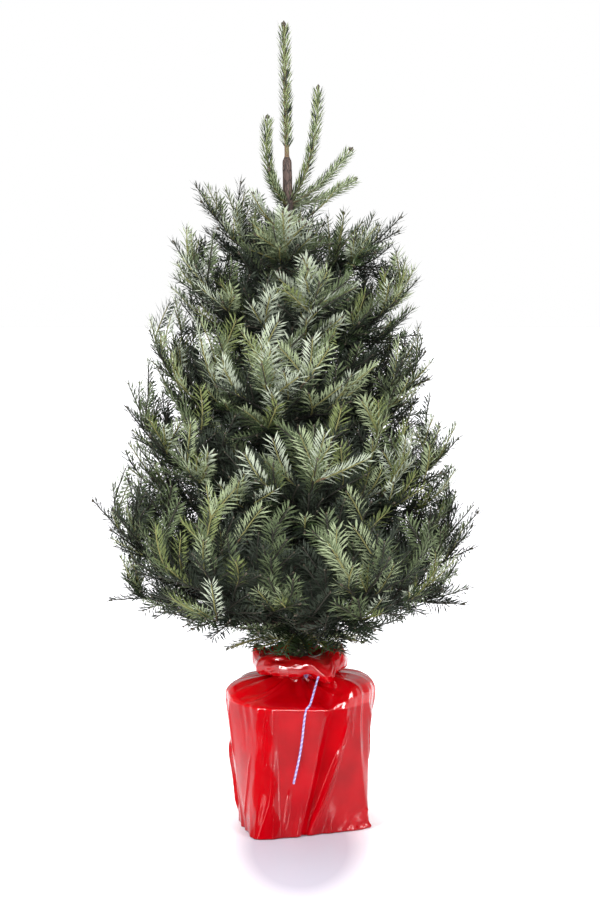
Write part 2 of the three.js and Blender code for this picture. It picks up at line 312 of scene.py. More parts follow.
def trunkAt(z):
    # the middle of the trunk at a height
    z = np.asarray(z, float)
    return np.concatenate([between(z, trunkRings[:, 2], trunkRings[:, :2]), z[..., None]], -1)


def limbEnds(name):
    # start and end of a limb, the start being at the trunk, and its radius at each
    corners, _ = nodeMesh(name)
    reach = np.linalg.norm((corners - trunkAt(corners[:, 2]))[:, :2], axis=1)
    near = corners[reach < reach.min() + 2 * mm].mean(0)
    along = unit(corners.mean(0) - near)
    for _ in range(3):
        run = corners @ along
        end = corners[run > run.max() - 0.5 * mm].mean(0)
        low = corners[run < run.min() + 0.35 * np.ptp(run)].mean(0)
        along = unit(end - low)
    start = end - along * np.ptp(corners @ along)
    off = np.linalg.norm(np.cross(corners - end, along), axis=1)
    run = corners @ along
    return start, end, off[run < run.min() + 0.4 * np.ptp(run)].max(), off[run > run.max() - 0.5 * mm].max()


def curve(start, heading, goal, points, bulge=0.45):
    # a path that leaves start along heading and ends at goal
    t = np.linspace(0, 1, points)[:, None]
    bend = start + unit(heading) * bulge * np.linalg.norm(goal - start)
    return (1 - t) ** 2 * start + 2 * t * (1 - t) * bend + t ** 2 * goal


def tangents(path):
    return unit(np.gradient(path, axis=0))


def upperSide(path, along):
    # the side that faces the light: up on a level shoot, and in on an upright one
    inward = trunkAt(path[:, 2]) - path
    inward[:, 2] = 0
    return square(up * 0.8 + unit(inward) * 0.8, along)


def lengthAlong(path):
    return np.concatenate([[0], np.cumsum(np.linalg.norm(np.diff(path, axis=0), axis=1))])


# the crown's space in small cells: which of them are near a shoot already
roomCell = 8 * mm
roomLow = np.array(cadLow) - 0.1
roomTaken = np.zeros(((np.array(cadHigh) - roomLow + 0.1) / roomCell).astype(int) + 1, bool)
reachCells = int(growth["room"] / roomCell) + 1
ball = np.stack(np.meshgrid(*[np.arange(-reachCells, reachCells + 1)] * 3, indexing="ij"), -1).reshape(-1, 3)
ball = ball[np.linalg.norm(ball, axis=1) * roomCell <= growth["room"]]


def takeRoom(path):
    cells = ((path[:, None] - roomLow) / roomCell).astype(int) + ball[None]
    cells = np.clip(cells, 0, np.array(roomTaken.shape) - 1).reshape(-1, 3)
    roomTaken[cells[:, 0], cells[:, 1], cells[:, 2]] = True


def hasRoom(point):
    return not roomTaken[tuple(((point - roomLow) / roomCell).astype(int))]


shoots = []  # each with its path, its upper side, how it is needled, and the group it belongs to


def addShoot(group, path, kind="flat", startRadius=None):
    along = tangents(path)
    shoots.append({"group": group, "path": path, "along": along, "upper": upperSide(path, along),
                   "kind": kind, "tone": 0, "startRadius": startRadius})
    if kind != "bare":
        takeRoom(path)
    return shoots[-1]


def fingerTips(corners, polygons, root):
    # the far points of a mass: corners further from its root than all their neighbours
    away = np.linalg.norm(corners - root, axis=1)
    best = away.copy()
    for polygon in polygons:
        best[polygon] = np.maximum(best[polygon], away[polygon].max())
    tips = [i for i in np.argsort(-away) if away[i] >= best[i] - 1e-9 and away[i] > 0.4 * away.max()]
    kept = []
    for i in tips:
        if all(np.linalg.norm(corners[i] - corners[k]) > 34 * mm for k in kept):
            kept.append(i)
    return corners[kept]


def outside(mass, point):
    # how far a point is outside a mass, negative inside, and the way out to it
    near, normal, _, distance = mass.find_nearest(Vector(point))
    way = Vector(point) - near
    return (distance if way.dot(normal) > 0 else -distance), way.normalized()


tiers = {}
for name in sorted(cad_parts):
    if name.startswith("foliage_"):
        tiers.setdefault(int(name.split("_")[1]), []).append(name)
crownCorners = np.concatenate([nodeMesh(name)[0] for names in tiers.values() for name in names])
crownLow, crownHigh = crownCorners.min(0), crownCorners.max(0)
outline = bmesh.new()
for corner in crownCorners:
    outline.verts.new(corner)
bmesh.ops.convex_hull(outline, input=outline.verts)
crown = BVHTree.FromBMesh(outline)
outline.free()


def crownDistance(point):
    # how far a point is outside the crown's outline, negative inside
    near, _, _, distance = crown.find_nearest(Vector(point))
    middle = Vector((0, 0, float(np.clip(point[2], crownLow[2] + 0.1, crownHigh[2] - 0.1))))
    return distance if (Vector(point) - near).dot(near - middle) > 0 else -distance


def fits(mass, point, above):
    distance, way = outside(mass, point)
    return (distance < growth["stand"] + (above - growth["stand"]) * max(0, way.z) ** 2
            and crownDistance(point) < growth["stand"])


def sidePath(start, heading, length):
    # it leaves along heading and turns up as it grows
    points = [start]
    step = length / (growth["sidePoints"] - 1)
    turn = growth["lift"] / (growth["sidePoints"] - 1)
    for _ in range(growth["sidePoints"] - 1):
        heading = unit(heading + up * turn + dice.normal(0, 0.03, 3))
        points.append(points[-1] + heading * step)
    return np.array(points)


def addSides(group, shoot, allowed, order):
    # side shoots in pairs at the yearly nodes, with a third above or below now and then
    run = lengthAlong(shoot["path"])
    total = run[-1]
    fromTip = growth["season"] * rng.uniform(0.7, 1.0)
    while fromTip < total - 6 * mm:
        pair = [(side, rng.uniform(-12, 22)) for side in (-1, 1)]
        for side, rise in (*pair, (1, rng.choice((75, 90, 105)))):
            if rise > 60 and rng.random() < 0.45:
                continue
            place = total - fromTip * rng.uniform(0.97, 1.03)
            start, along = between(place, run, shoot["path"]), unit(between(place, run, shoot["along"]))
            upper = square(between(place, run, shoot["upper"]), along)
            across = np.cross(along, upper) * side
            angle, tilt = math.radians(rng.uniform(*growth["nodeAngle"])), math.radians(rise)
            out = across * math.cos(tilt) + upper * math.sin(tilt)
            heading = unit(along * math.cos(angle) + out * math.sin(angle) + up * 0.18)
            length = min(growth["nodeShare"] * fromTip, growth["longestSide"]) * rng.uniform(0.85, 1.12)
            length = max(length, growth["shortestSide"] * rng.uniform(0.9, 1.2))
            path = sidePath(start, heading, length)
            while length > growth["shortestSide"] and not allowed(path[-1]):
                length *= 0.85
                path = sidePath(start, heading, length)
            if not allowed(path[-1]) or not hasRoom(path[-1]):
                continue
            child = addShoot(group, path)
            if order < 2 and length > 70 * mm:
                addSides(group, child, allowed, order + 1)
        fromTip += growth["season"] * rng.uniform(0.45, 0.75)


def woodRows(shoot):
    # place, direction, upper side, length left to the tip and whorl of each point of a shoot
    run = lengthAlong(shoot["path"])
    whorl = np.full((len(run), 1), int(shoot["group"][-1]))
    return np.hstack([shoot["path"], shoot["along"], shoot["upper"], (run[-1] - run)[:, None], whorl])


def fillRoom(own, candidates, allowed):
    # a new shoot from the best placed wood to every spot that is still open
    low, high = growth["fillReach"]
    wood = np.concatenate([woodRows(shoot) for shoot in own])
    count = len(wood)
    wood = np.concatenate([wood, np.zeros((len(candidates) * growth["sidePoints"], 11))])
    for goal in candidates:
        if not hasRoom(goal) or not allowed(goal):
            continue
        feet, along, upper, spare = wood[:count, :3], wood[:count, 3:6], wood[:count, 6:9], wood[:count, 9]
        way = goal - feet
        length = np.linalg.norm(way, axis=1)
        way = way / np.maximum(length, 1e-9)[:, None]
        angle = np.degrees(np.arccos(np.clip((way * along).sum(1), -1, 1)))
        cost = (np.abs(length - growth["fillLength"]) / growth["fillLength"]
                + np.maximum(0, np.abs(angle - growth["fillAngle"]) - 12) / 22
                + 0.4 * np.abs((way * upper).sum(1)) + 0.8 * np.maximum(0, 0.75 - way[:, 2])
                + np.where(spare < 26 * mm, 0.7, 0)
                + np.where((length < low) | (length > high), 9, 0))
        best = cost.argmin()
        if cost[best] > 2.6:
            continue
        path = curve(feet[best], unit(way[best] + 0.3 * along[best] - 0.15 * up), goal, growth["sidePoints"])
        tier = int(wood[best, 10])
        grown = woodRows(addShoot(f"tier{tier}", path))
        wood[count:count + len(grown)] = grown
        count += len(grown)


def growMass(group, foliage, limb):
    # a main axis on from the limb to the mass's furthest tip, leads to its other tips, and their side shoots
    corners, polygons = nodeMesh(foliage)
    mass = BVHTree.FromPolygons([Vector(c) for c in corners], polygons)
    start, end, _, endRadius = limbEnds(limb)
    heading = unit(end - start)
    tips = fingerTips(corners, polygons, end)
    first = len(shoots)
    mainPath = curve(end - heading * 4 * mm, heading, tips[0], growth["leadPoints"])
    mainRun = lengthAlong(mainPath)
    mainWay = unit(mainPath[-1] - end)
    leads = [addShoot(group, mainPath, startRadius=endRadius)]
    for tip in tips[1:]:
        reach = (tip - end) @ mainWay
        aside = np.linalg.norm(tip - end - reach * mainWay)
        place = np.clip(reach - aside / math.tan(math.radians(40)), 0.04 * mainRun[-1], 0.8 * mainRun[-1])
        foot, way = between(place, mainRun, mainPath), between(place, mainRun, leads[0]["along"])
        path = curve(foot, unit(unit(tip - foot) + 0.5 * unit(way)), tip, growth["leadPoints"])
        leads.append(addShoot(group, path))
    above = growth["aboveTop" if group == "tier1" else "above"]
    allowed = lambda point: fits(mass, point, above)
    for lead in leads:
        addSides(group, lead, allowed, 0)
    return shoots[first:], corners, allowed


# how often the outer shoots of a whorl are silvery, grey green, olive and dark green, and those at its foot
tierTones = {1: (6, 3.4, 0.6, 0.6), 2: (6, 3.4, 0.6, 0.8), 3: (4.6, 4, 1, 1.2), 4: (3, 4, 2, 1.8),
             5: (0.9, 3, 3.3, 3.8)}
footTones = (2, 5, 3, 0)
paintedShadeDepth = (22 * mm, 70 * mm)   # how far into the crown the painted shade begins to darken the needles, and where they are darkest
lowPaintedShade = {4: 1.2, 5: 1.5}       # how much sooner that painted shade comes on the low whorls
crownFoot = 345 * mm              # under this height the painted shade is weaker, as the light from the floor reaches the needles
jobs = []
crownShape = []  # height and radius of the crown's outer tips, whorl by whorl
for tier, names in tiers.items():
    farTips = []
    for name in names:
        own, corners, allowed = growMass(f"tier{tier}", name, name.replace("foliage", "bough"))
        jobs.append((tier, own, corners, allowed))
        reach = np.linalg.norm((corners - trunkAt(corners[:, 2]))[:, :2], axis=1)
        farTips.append((corners[reach.argmax(), 2], reach.max()))
    crownShape.append(np.mean(farTips, 0))
crownShape = np.array(sorted(crownShape, key=lambda row: row[0]))
print("the masses' axes:", len(shoots), "shoots")

# small boughs from the trunk's lengths between the whorls
whorls = sorted(limbEnds(names[0].replace("foliage", "bough"))[0][2] for names in tiers.values())
z, turn = whorls[0] - 34 * mm, 0.0
while z < whorls[-1] + 84 * mm:
    turn += math.radians(137.5 + rng.uniform(-14, 14))
    z += growth["betweenStep"] * rng.uniform(0.8, 1.2)
    tier = max(tiers) - sum(z > w + 30 * mm for w in whorls[1:])
    radius = np.interp(z + 60 * mm, crownShape[:, 0], crownShape[:, 1]) * growth["betweenReach"]
    out = np.array([math.cos(turn), math.sin(turn), 0])
    start = trunkAt(z)
    rise = np.interp(z, (whorls[0] - 34 * mm, whorls[0] + 60 * mm), (-0.05, 0.6))
    goal = start + out * radius * rng.uniform(0.75, 1.05) + up * radius * rise * rng.uniform(0.75, 1.25)
    path = curve(start, out + up * 0.25, goal, growth["leadPoints"])
    lead = addShoot(f"tier{tier}", path, startRadius=2.2 * mm)
    addSides(f"tier{tier}", lead, lambda p: crownDistance(p) < -growth["inset"], 0)
print("with the small boughs between the whorls:", len(shoots), "shoots")

for tier, own, corners, allowed in jobs:
    margin = np.array([growth["stand"]] * 3)
    low, high = corners.min(0) - margin, corners.max(0) + margin + (0, 0, growth["above"])
    candidates = dice.uniform(low, high, (growth["massSpots"], 3))
    outermost = np.argsort(-np.linalg.norm((candidates - trunkAt(candidates[:, 2]))[:, :2], axis=1))
    fillRoom(own, candidates[outermost], allowed)
print("with the masses' open spots filled:", len(shoots), "shoots")


def closesGap(point):
    # between the masses, inside the crown's outline; further inside it near the top, which is open
    inset = growth["inset"] + 0.5 * max(0, point[2] - crownHigh[2] + growth["openTop"])
    return inset < -crownDistance(point) < growth["shell"]


candidates = dice.uniform(crownLow, crownHigh, (growth["gapSpots"], 3))
fillRoom(shoots, candidates, closesGap)
print("with the gaps between them closed:", len(shoots), "shoots")

# short shoots round the trunk's foot, level or hanging a little
for i in range(growth["skirt"]):
    turn = i * 2.4 + rng.uniform(-0.2, 0.2)
    out = np.array([math.cos(turn), math.sin(turn), 0])
    start = trunkAt(rng.uniform(*growth["skirtStart"]) * mm)
    goal = start + out * rng.uniform(*growth["skirtReach"]) * mm
    goal[2] = rng.uniform(*growth["skirtTip"]) * mm
    skirtShoot = addShoot(f"tier{max(tiers)}", curve(start, out + up * 0.35, goal, growth["leadPoints"]))
    addSides(f"tier{max(tiers)}", skirtShoot, lambda p: p[2] > 290 * mm, 1)

# old curved twigs without needles, on the lowest limbs and near the trunk
low = [s for s in shoots if s["group"] == f"tier{max(tiers)}" and s["startRadius"]]
for _ in range(growth["bareTwigs"]):
    parent = rng.choice(low)
    place = rng.randrange(1, 6)
    start, along = parent["path"][place], parent["along"][place]
    heading = unit(along + dice.normal(0, 0.7, 3) - up * 0.25)
    goal = start + heading * rng.uniform(70, 130) * mm + up * rng.uniform(0, 40) * mm
    addShoot(parent["group"], curve(start, heading - up * 0.3, goal, growth["sidePoints"], 0.5), "bare")


def aroundTrunk(points):
    # azimuth in degrees and distance from the trunk
    turn = np.degrees(np.arctan2(points[:, 1], points[:, 0] - trunkAt(points[:, 2])[:, 0]))
    return turn, np.linalg.norm((points - trunkAt(points[:, 2]))[:, :2], axis=1)


# painted shade: needles get darker, and less silver below, by how far a shoot's middle is inside its
# neighbours' tips
tips, middles = (np.array([s["path"][k] for s in shoots]) for k in (-1, 3))
(tipTurn, tipReach), (middleTurn, middleReach) = aroundTrunk(tips), aroundTrunk(middles)
for i, shoot in enumerate(shoots):
    aside = np.abs((tipTurn - middleTurn[i] + 180) % 360 - 180) * math.pi / 180 * middleReach[i]
    level = (aside < 60 * mm) & (np.abs(tips[:, 2] - middles[i, 2]) < 40 * mm) & (tipReach > middleReach[i])
    over = np.linalg.norm((tips - middles[i])[:, :2], axis=1) < 45 * mm
    inwards = np.percentile(tipReach[level], 80) - middleReach[i] if level.any() else 0
    down = np.percentile(tips[over, 2], 96) - middles[i, 2] if over.any() else 0
    depth = min(inwards, down)
    tier = int(shoot["group"][-1])
    shade = float(smoothStep(*paintedShadeDepth, depth * lowPaintedShade.get(tier, 1) + rng.uniform(-8, 8) * mm))
    atFoot = middles[i, 2] < crownFoot
    outer = rng.choices(range(4), footTones if atFoot else tierTones[tier])[0]
    shade = 0.25 * shade if atFoot else shade
    # painted shade: the near-black tone 4, and the dark green tone 3, come more often the deeper the shoot
    # lies
    if rng.random() < 0.85 * shade:
        shoot["tone"] = 4
    else:
        shoot["tone"] = 3 if rng.random() < 0.1 + 0.7 * shade else outer
print("tones dealt out:", [sum(s["tone"] == t for s in shoots) for t in range(5)])


# the leader and the short shoots round it, with needles all round and no side shoots yet
leaderFoot = trunkRings[trunkRings[:, 3] < 4.5 * mm][0, 2]
heights = np.linspace(leaderFoot + 8 * mm, trunkCorners[:, 2].max() - 6 * mm, growth["leadPoints"])
addShoot("top", trunkAt(heights), "brush")["tone"] = 5
topNames = sorted(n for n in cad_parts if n.startswith("top_foliage_"))
for name in topNames:
    corners = nodeMesh(name)[0]
    start, end, startRadius, _ = limbEnds(name.replace("foliage", "bough"))
    tip = corners[np.linalg.norm(corners - end, axis=1).argmax()]
    start = trunkAt(start[2])
    path = curve(start, unit(end - start), tip - unit(tip - end) * 5 * mm, growth["leadPoints"], 0.4)
    steep = tip[2] - end[2] > 2 * np.linalg.norm((tip - end)[:2])
    addShoot("top", path, "brush", startRadius=startRadius)["tone"] = 5 if steep else 1


twigSetup = {
    "tipRadius": 0.85 * mm,
    "thicken": 0.0105,       # of radius for each unit of length back from the tip
    "sides": 5,
    "young": "#7d7b48",
    "second": "#7a624a",
    "old": "#574a40",
    # painted shade: the near-black colour for the twigs of the dark shoots deep in the crown
    "shaded": "#26241a",
}
needleSetup = {
    "length": 28.5 * mm,
    "width": 2.6 * mm,
    "ridge": 0.35 * mm,
    "perLength": 700,         # needles for each metre of shoot
    "years": 3.4,             # how many years the needles stay on
    "widest": 0.55,           # where along a needle it is widest
    # the fifth colour of each list, near black, is painted shade for shoots deep in the crown
    "top": ("#3a4b31", "#3a4c28", "#44531f", "#28371f", "#161f15", "#58643a"),
    "under": ("#b9c3ac", "#98a57e", "#717d48", "#5e6c49", "#2a3426", "#7f8a5c"),
}
brushSetup = {                # needles all round, on the leader and the top shoots
    "perLength": 1450,
    "length": 21 * mm,
    "width": 1.12,            # as a share of the other needles' width
    "forward": 33,            # degrees between needle and shoot
    "bareTip": 11 * mm,
    "tones": (5, 5, 5, 5, 1, 3, 3, 4),   # which of the colours above they are dealt
}
budSetup = {"radius": 2.2 * mm, "length": 5.5 * mm, "cluster": 7, "clusterSize": 1.4, "colour": "#4b4436"}


def plantSkin(name, colour, roughness):
    # a cuticle under thin wax: satin on top of a needle, with chalky bands below that make fir look silver
    material, _, _ = shaderOf(name, {
        "Base Color": linearColour(colour), "Roughness": roughness, "Specular IOR Level": 0.22})
    return material


needleMaterials = [plantSkin(f"needleTop{i}", c, 0.45) for i, c in enumerate(needleSetup["top"])]
needleMaterials += [plantSkin(f"needleUnder{i}", c, 0.65) for i, c in enumerate(needleSetup["under"])]
twigMaterials = [plantSkin(f"twig{age.capitalize()}", twigSetup[age], 0.7)
                 for age in ("young", "second", "old", "shaded")]
budMaterial = plantSkin("budScales", budSetup["colour"], 0.4)


def needleArrays(members):
    # of every needle of these shoots: foot, axis, upper side, angle round the twig, place along its year, tone
    rows = {k: [] for k in ("foot", "along", "upper", "angle", "year", "tone", "brush")}
    for shoot in members:
        if shoot["kind"] == "bare":
            continue
        brush = shoot["kind"] == "brush"
        run = lengthAlong(shoot["path"])
        total = run[-1]
        first = max(3 * mm, total - needleSetup["years"] * growth["season"])
        count = max(6, int((total - first) * (brushSetup if brush else needleSetup)["perLength"]))
        last = total - brushSetup["bareTip"] if brush else total
        spots = first + (np.arange(count) + 0.5 + dice.uniform(-0.4, 0.4, count)) / count * (last - first)
        for key, source in (("foot", "path"), ("along", "along"), ("upper", "upper")):
            rows[key].append(between(spots, run, shoot[source]))
        rows["angle"].append((np.arange(count) * 137.508 + dice.uniform(0, 360)) % 360)
        season = total if brush else growth["season"]
        rows["year"].append(1 - ((total - spots) % season) / season)
        tones = brushSetup["tones"] if shoot["tone"] == 5 else [shoot["tone"]]
        rows["tone"].append(dice.choice(tones, count))
        rows["brush"].append(np.full(count, brush))
    return {k: np.concatenate(v) for k, v in rows.items()}


def buildNeedles(name, members):
    n = needleArrays(members)
    count = len(n["tone"])
    along = unit(n["along"])
    upper = square(n["upper"], along)
    across = np.cross(along, upper)
    signed = (n["angle"] + 180) % 360 - 180          # 0 is the underside, 180 the top
    turned = np.abs(signed) / 180
    parted = 64 + 86 * turned ** 1.3                 # needles under the twig turn out to its sides
    around = np.radians(np.where(n["brush"], np.abs(signed), parted) * np.where(signed < 0, -1, 1))
    forward = np.radians(np.where(n["brush"], brushSetup["forward"], 58 - 18 * turned)
                         + dice.normal(0, 3.5, count))
    tipward = np.clip((n["year"] - 0.86) / 0.14, 0, 1)
    forward = forward * (1 - 0.42 * tipward)
    out = -upper * np.cos(around)[:, None] + across * np.sin(around)[:, None]
    axis = along * np.cos(forward)[:, None] + out * np.sin(forward)[:, None]
    face = upper * 0.85 + along * 0.4 + dice.normal(0, 0.22, (count, 3))
    face = square(np.where(n["brush"][:, None], face * 0.5 - out, face), axis)
    right = np.cross(axis, face)
    profile = 0.7 + 0.3 * np.sin(np.pi * np.clip(n["year"] * 0.9 + 0.06, 0, 1)) ** 0.7
    length = needleSetup["length"] * (1 - 0.3 * turned) * profile
    length = np.where(n["brush"], brushSetup["length"], length) * dice.uniform(0.88, 1.08, count)
    length = length[:, None]
    share = np.where(n["brush"], brushSetup["width"], 1) * dice.uniform(0.85, 1.1, count)
    width = needleSetup["width"] / 2 * share[:, None]
    foot = n["foot"] + out * np.where(n["brush"], 2.2, 0.7)[:, None] * mm
    middle = foot + axis * length * needleSetup["widest"] - face * needleSetup["ridge"]
    tip = foot + axis * length
    # two faces above, which meet along the midrib, and two below
    verts = np.stack([foot, middle - right * width, middle + right * width, tip], 1).reshape(-1, 3)
    faces = np.array([0, 2, 3, 0, 3, 1, 0, 1, 2, 1, 3, 2])
    loops = (np.arange(count)[:, None] * 4 + faces).ravel()
    slots = (n["tone"][:, None] + np.array([0, 0, 1, 1]) * len(needleSetup["top"])).ravel()
    piece = joinedMesh(name, verts, np.full(count * 4, 3), loops, needleMaterials, slots)
    print(name, count, "needles,", count * 4, "triangles")
    return piece


def tubes(paths, along, upper, radius, sides, slotOf=None):
    # tapered tubes of one number of points each: arrays of shoots by points
    shootCount, points = radius.shape
    turn = np.arange(sides) * 2 * math.pi / sides
    upper = square(upper, along)
    across = np.cross(along, upper)
    ring = paths[:, :, None] + radius[:, :, None, None] * (
        np.cos(turn)[:, None] * upper[:, :, None] + np.sin(turn)[:, None] * across[:, :, None])
    tip = paths[:, -1] + along[:, -1] * radius[:, -1:]
    verts = np.concatenate([ring.reshape(shootCount, -1, 3), tip[:, None]], 1)
    quads = ringFaces(points, sides)
    last = (points - 1) * sides
    cap = np.stack([last + np.arange(sides), last + (np.arange(sides) + 1) % sides,
                    np.full(sides, points * sides)], -1)
    pattern = np.concatenate([quads.reshape(-1), cap.reshape(-1), np.arange(sides)[::-1]])
    counts = [4] * (points - 1) * sides + [3] * sides + [sides]
    slots = None
    if slotOf is not None:
        slots = np.concatenate([np.repeat(slotOf[:, :-1], sides, axis=1),
                                np.repeat(slotOf[:, -1:], sides, axis=1), slotOf[:, :1]], 1)
    return verts, pattern, counts, slots


def buildTwigs(name, members):
    verts, counts, loops, slots, base = [], [], [], [], 0
    for points in sorted({len(s["path"]) for s in members}):
        batch = [s for s in members if len(s["path"]) == points]
        path, along, upper = (np.stack([s[k] for s in batch]) for k in ("path", "along", "upper"))
        step = np.linalg.norm(np.diff(path, axis=1), axis=2)
        run = np.concatenate([np.zeros((len(batch), 1)), np.cumsum(step, 1)], 1)
        left = run[:, -1:] - run
        radius = twigSetup["tipRadius"] + twigSetup["thicken"] * left
        wide = np.array([s["startRadius"] or 0 for s in batch])[:, None]
        radius = np.maximum(radius, wide * (1 - 0.9 * run / run[:, -1:]) ** 1.2)
        age = np.clip((left / growth["season"]).astype(int), 0, 2)
        age = np.maximum(age, np.array([2 if s["kind"] == "bare" else 0 for s in batch])[:, None])
        # painted shade: the twigs of the dark-toned shoots, mostly deep in the crown, take the near-black
        # colour
        age[[s["tone"] in (3, 4) and s["kind"] == "flat" for s in batch]] = 3
        block, pattern, faceCounts, blockSlots = tubes(path, along, upper, radius, twigSetup["sides"], age)
        perShoot = block.shape[1]
        verts.append(block.reshape(-1, 3))
        loops.append((base + np.arange(len(batch))[:, None] * perShoot + pattern).ravel())
        counts.append(np.tile(faceCounts, len(batch)))
        slots.append(blockSlots.ravel())
        base += len(batch) * perShoot
    return joinedMesh(name, np.concatenate(verts), np.concatenate(counts), np.concatenate(loops),
                      twigMaterials, np.concatenate(slots), smooth=True)


def buildBuds(name, members):
    # ovoid buds with a ring of five corners: one at a side shoot's tip, a cluster on leads and top shoots
    feet, ways, sizes = [], [], []
    for shoot in members:
        tip, along, upper = shoot["path"][-1], shoot["along"][-1], shoot["upper"][-1]
        cluster = 3 if len(shoot["path"]) == growth["leadPoints"] else 1
        if shoot["kind"] == "brush":
            cluster = budSetup["cluster"]
        for i in range(cluster):
            turn = rng.uniform(0, 6.28)   # a full turn
            lean = 0 if i == 0 else rng.uniform(0.45, 0.8)
            side = square(upper, along) * math.cos(turn) + np.cross(along, upper) * math.sin(turn)
            feet.append(tip - along * (0 if i == 0 else 2 * mm))
            ways.append(along + side * lean)
            sizes.append(rng.uniform(0.8, 1.1) * (budSetup["clusterSize"] if cluster > 3 else 0.9))
    feet, ways, sizes = np.array(feet), unit(np.array(ways)), np.array(sizes)[:, None]
    side = square(np.array([0.3, 0.5, 0.8]) + 0 * ways, ways)
    third = np.cross(ways, side)
    length, radius = budSetup["length"] * sizes, budSetup["radius"] * sizes
    ring = [feet + ways * length * 0.42 + radius * (side * math.cos(a) + third * math.sin(a))
            for a in np.arange(5) * 2 * math.pi / 5]
    verts = np.stack([feet, *ring, feet + ways * length], 1)
    pattern = np.array([[0, 1 + (k + 1) % 5, 1 + k] for k in range(5)]
                       + [[6, 1 + k, 1 + (k + 1) % 5] for k in range(5)]).ravel()
    loops = (np.arange(len(feet))[:, None] * 7 + pattern).ravel()
    counts = np.full(len(feet) * 10, 3)
    return joinedMesh(name, verts.reshape(-1, 3), counts, loops, [budMaterial], smooth=True)


mostTriangles = 180000   # in one piece of needles
for tier, names in tiers.items():
    members = [s for s in shoots if s["group"] == f"tier{tier}"]
    halves = [members]
    if sum(lengthAlong(s["path"])[-1] for s in members) * needleSetup["perLength"] * 4 > mostTriangles:
        halves = [members[0::2], members[1::2]]
    for part, half in zip("ab", halves):
        piece = buildNeedles(f"needles_whorl{tier}{part}", half)
        handOver(piece, "needles", *(names if part == "a" else []))
    handOver(buildTwigs(f"twigs_whorl{tier}", members), "bark")
    handOver(buildBuds(f"buds_whorl{tier}", members), "bark")


topMembers = [s for s in shoots if s["group"] == "top"]
handOver(buildNeedles("needles_top", topMembers), "needles", "leader_foliage", *topNames)
handOver(buildTwigs("twigs_top", topMembers[1:]), "bark",
         *[n.replace("foliage", "bough") for n in topNames])
handOver(buildBuds("buds_top", topMembers), "bark")


barkSetup = {
    "sides": 44, "ringEvery": 3 * mm,
    "relief": 0.9 * mm,        # of the ridges on old bark
    "collar": 2.2 * mm,        # how much the trunk swells where a whorl leaves it
    "old": "#47362f", "patches": "#66534b", "cracks": "#241c17",
    "leader": "#6d6844", "leaderBase": "#735543",
    "crackWidth": 7, "leaderCrackWidth": 5,   # mm from one crack to the next
    "limbPoints": 16, "limbSides": 12, "limbRelief": 0.45 * mm,
}


def barkMaterial(name, main, patches, cracks, crackWidth):
    # young fir bark, grown: thin and grey brown, blotched with paler skin, with short dark cracks
    material, tree, shader = shaderOf(name, {"Roughness": 0.82, "Specular IOR Level": 0.3})
    coordinates = addNode(tree, "ShaderNodeTexCoord")
    stretch = addNode(tree, "ShaderNodeMapping", {"Scale": (1, 1, 0.35)}, {"Vector": (coordinates, "Object")})
    blotch = addNode(tree, "ShaderNodeTexNoise", {"Scale": 1000 / (4 * crackWidth), "Detail": 4.0},
                     {"Vector": (coordinates, "Object")})
    crack = addNode(tree, "ShaderNodeTexVoronoi", {"feature": "DISTANCE_TO_EDGE", "Scale": 1000 / crackWidth},
                    {"Vector": (stretch, "Vector")})
    depth = addNode(tree, "ShaderNodeMapRange", {"From Min": 0.0, "From Max": 0.12},
                    {"Value": (crack, "Distance")})
    skin = addNode(tree, "ShaderNodeValToRGB", links={"Fac": (blotch, "Fac")})
    skin.color_ramp.elements[0].position, skin.color_ramp.elements[1].position = 0.4, 0.66
    skin.color_ramp.elements[0].color = linearColour(main)
    skin.color_ramp.elements[1].color = linearColour(patches)
    colour = addNode(tree, "ShaderNodeMix", {"data_type": "RGBA"})
    tree.links.new(depth.outputs["Result"], colour.inputs[0])
    colour.inputs[6].default_value = linearColour(cracks)
    tree.links.new(skin.outputs["Color"], colour.inputs[7])
    tree.links.new(colour.outputs[2], shader.inputs["Base Color"])
    bump = addNode(tree, "ShaderNodeBump", {"Strength": 0.5, "Distance": 0.6 * mm},
                   {"Height": (depth, "Result")})
    tree.links.new(bump.outputs["Normal"], shader.inputs["Normal"])
    return material


oldBark = barkMaterial("firBark", barkSetup["old"], barkSetup["patches"], barkSetup["cracks"],
                       barkSetup["crackWidth"])
youngBark = barkMaterial("leaderBark", barkSetup["leader"], barkSetup["leaderBase"], barkSetup["leaderBase"],
                         barkSetup["leaderCrackWidth"])


def roughen(points, size):
    # ridged noise, about -1 to 1
    return np.array([1 - 2.2 * abs(noise.noise(Vector(p / size))) for p in points])


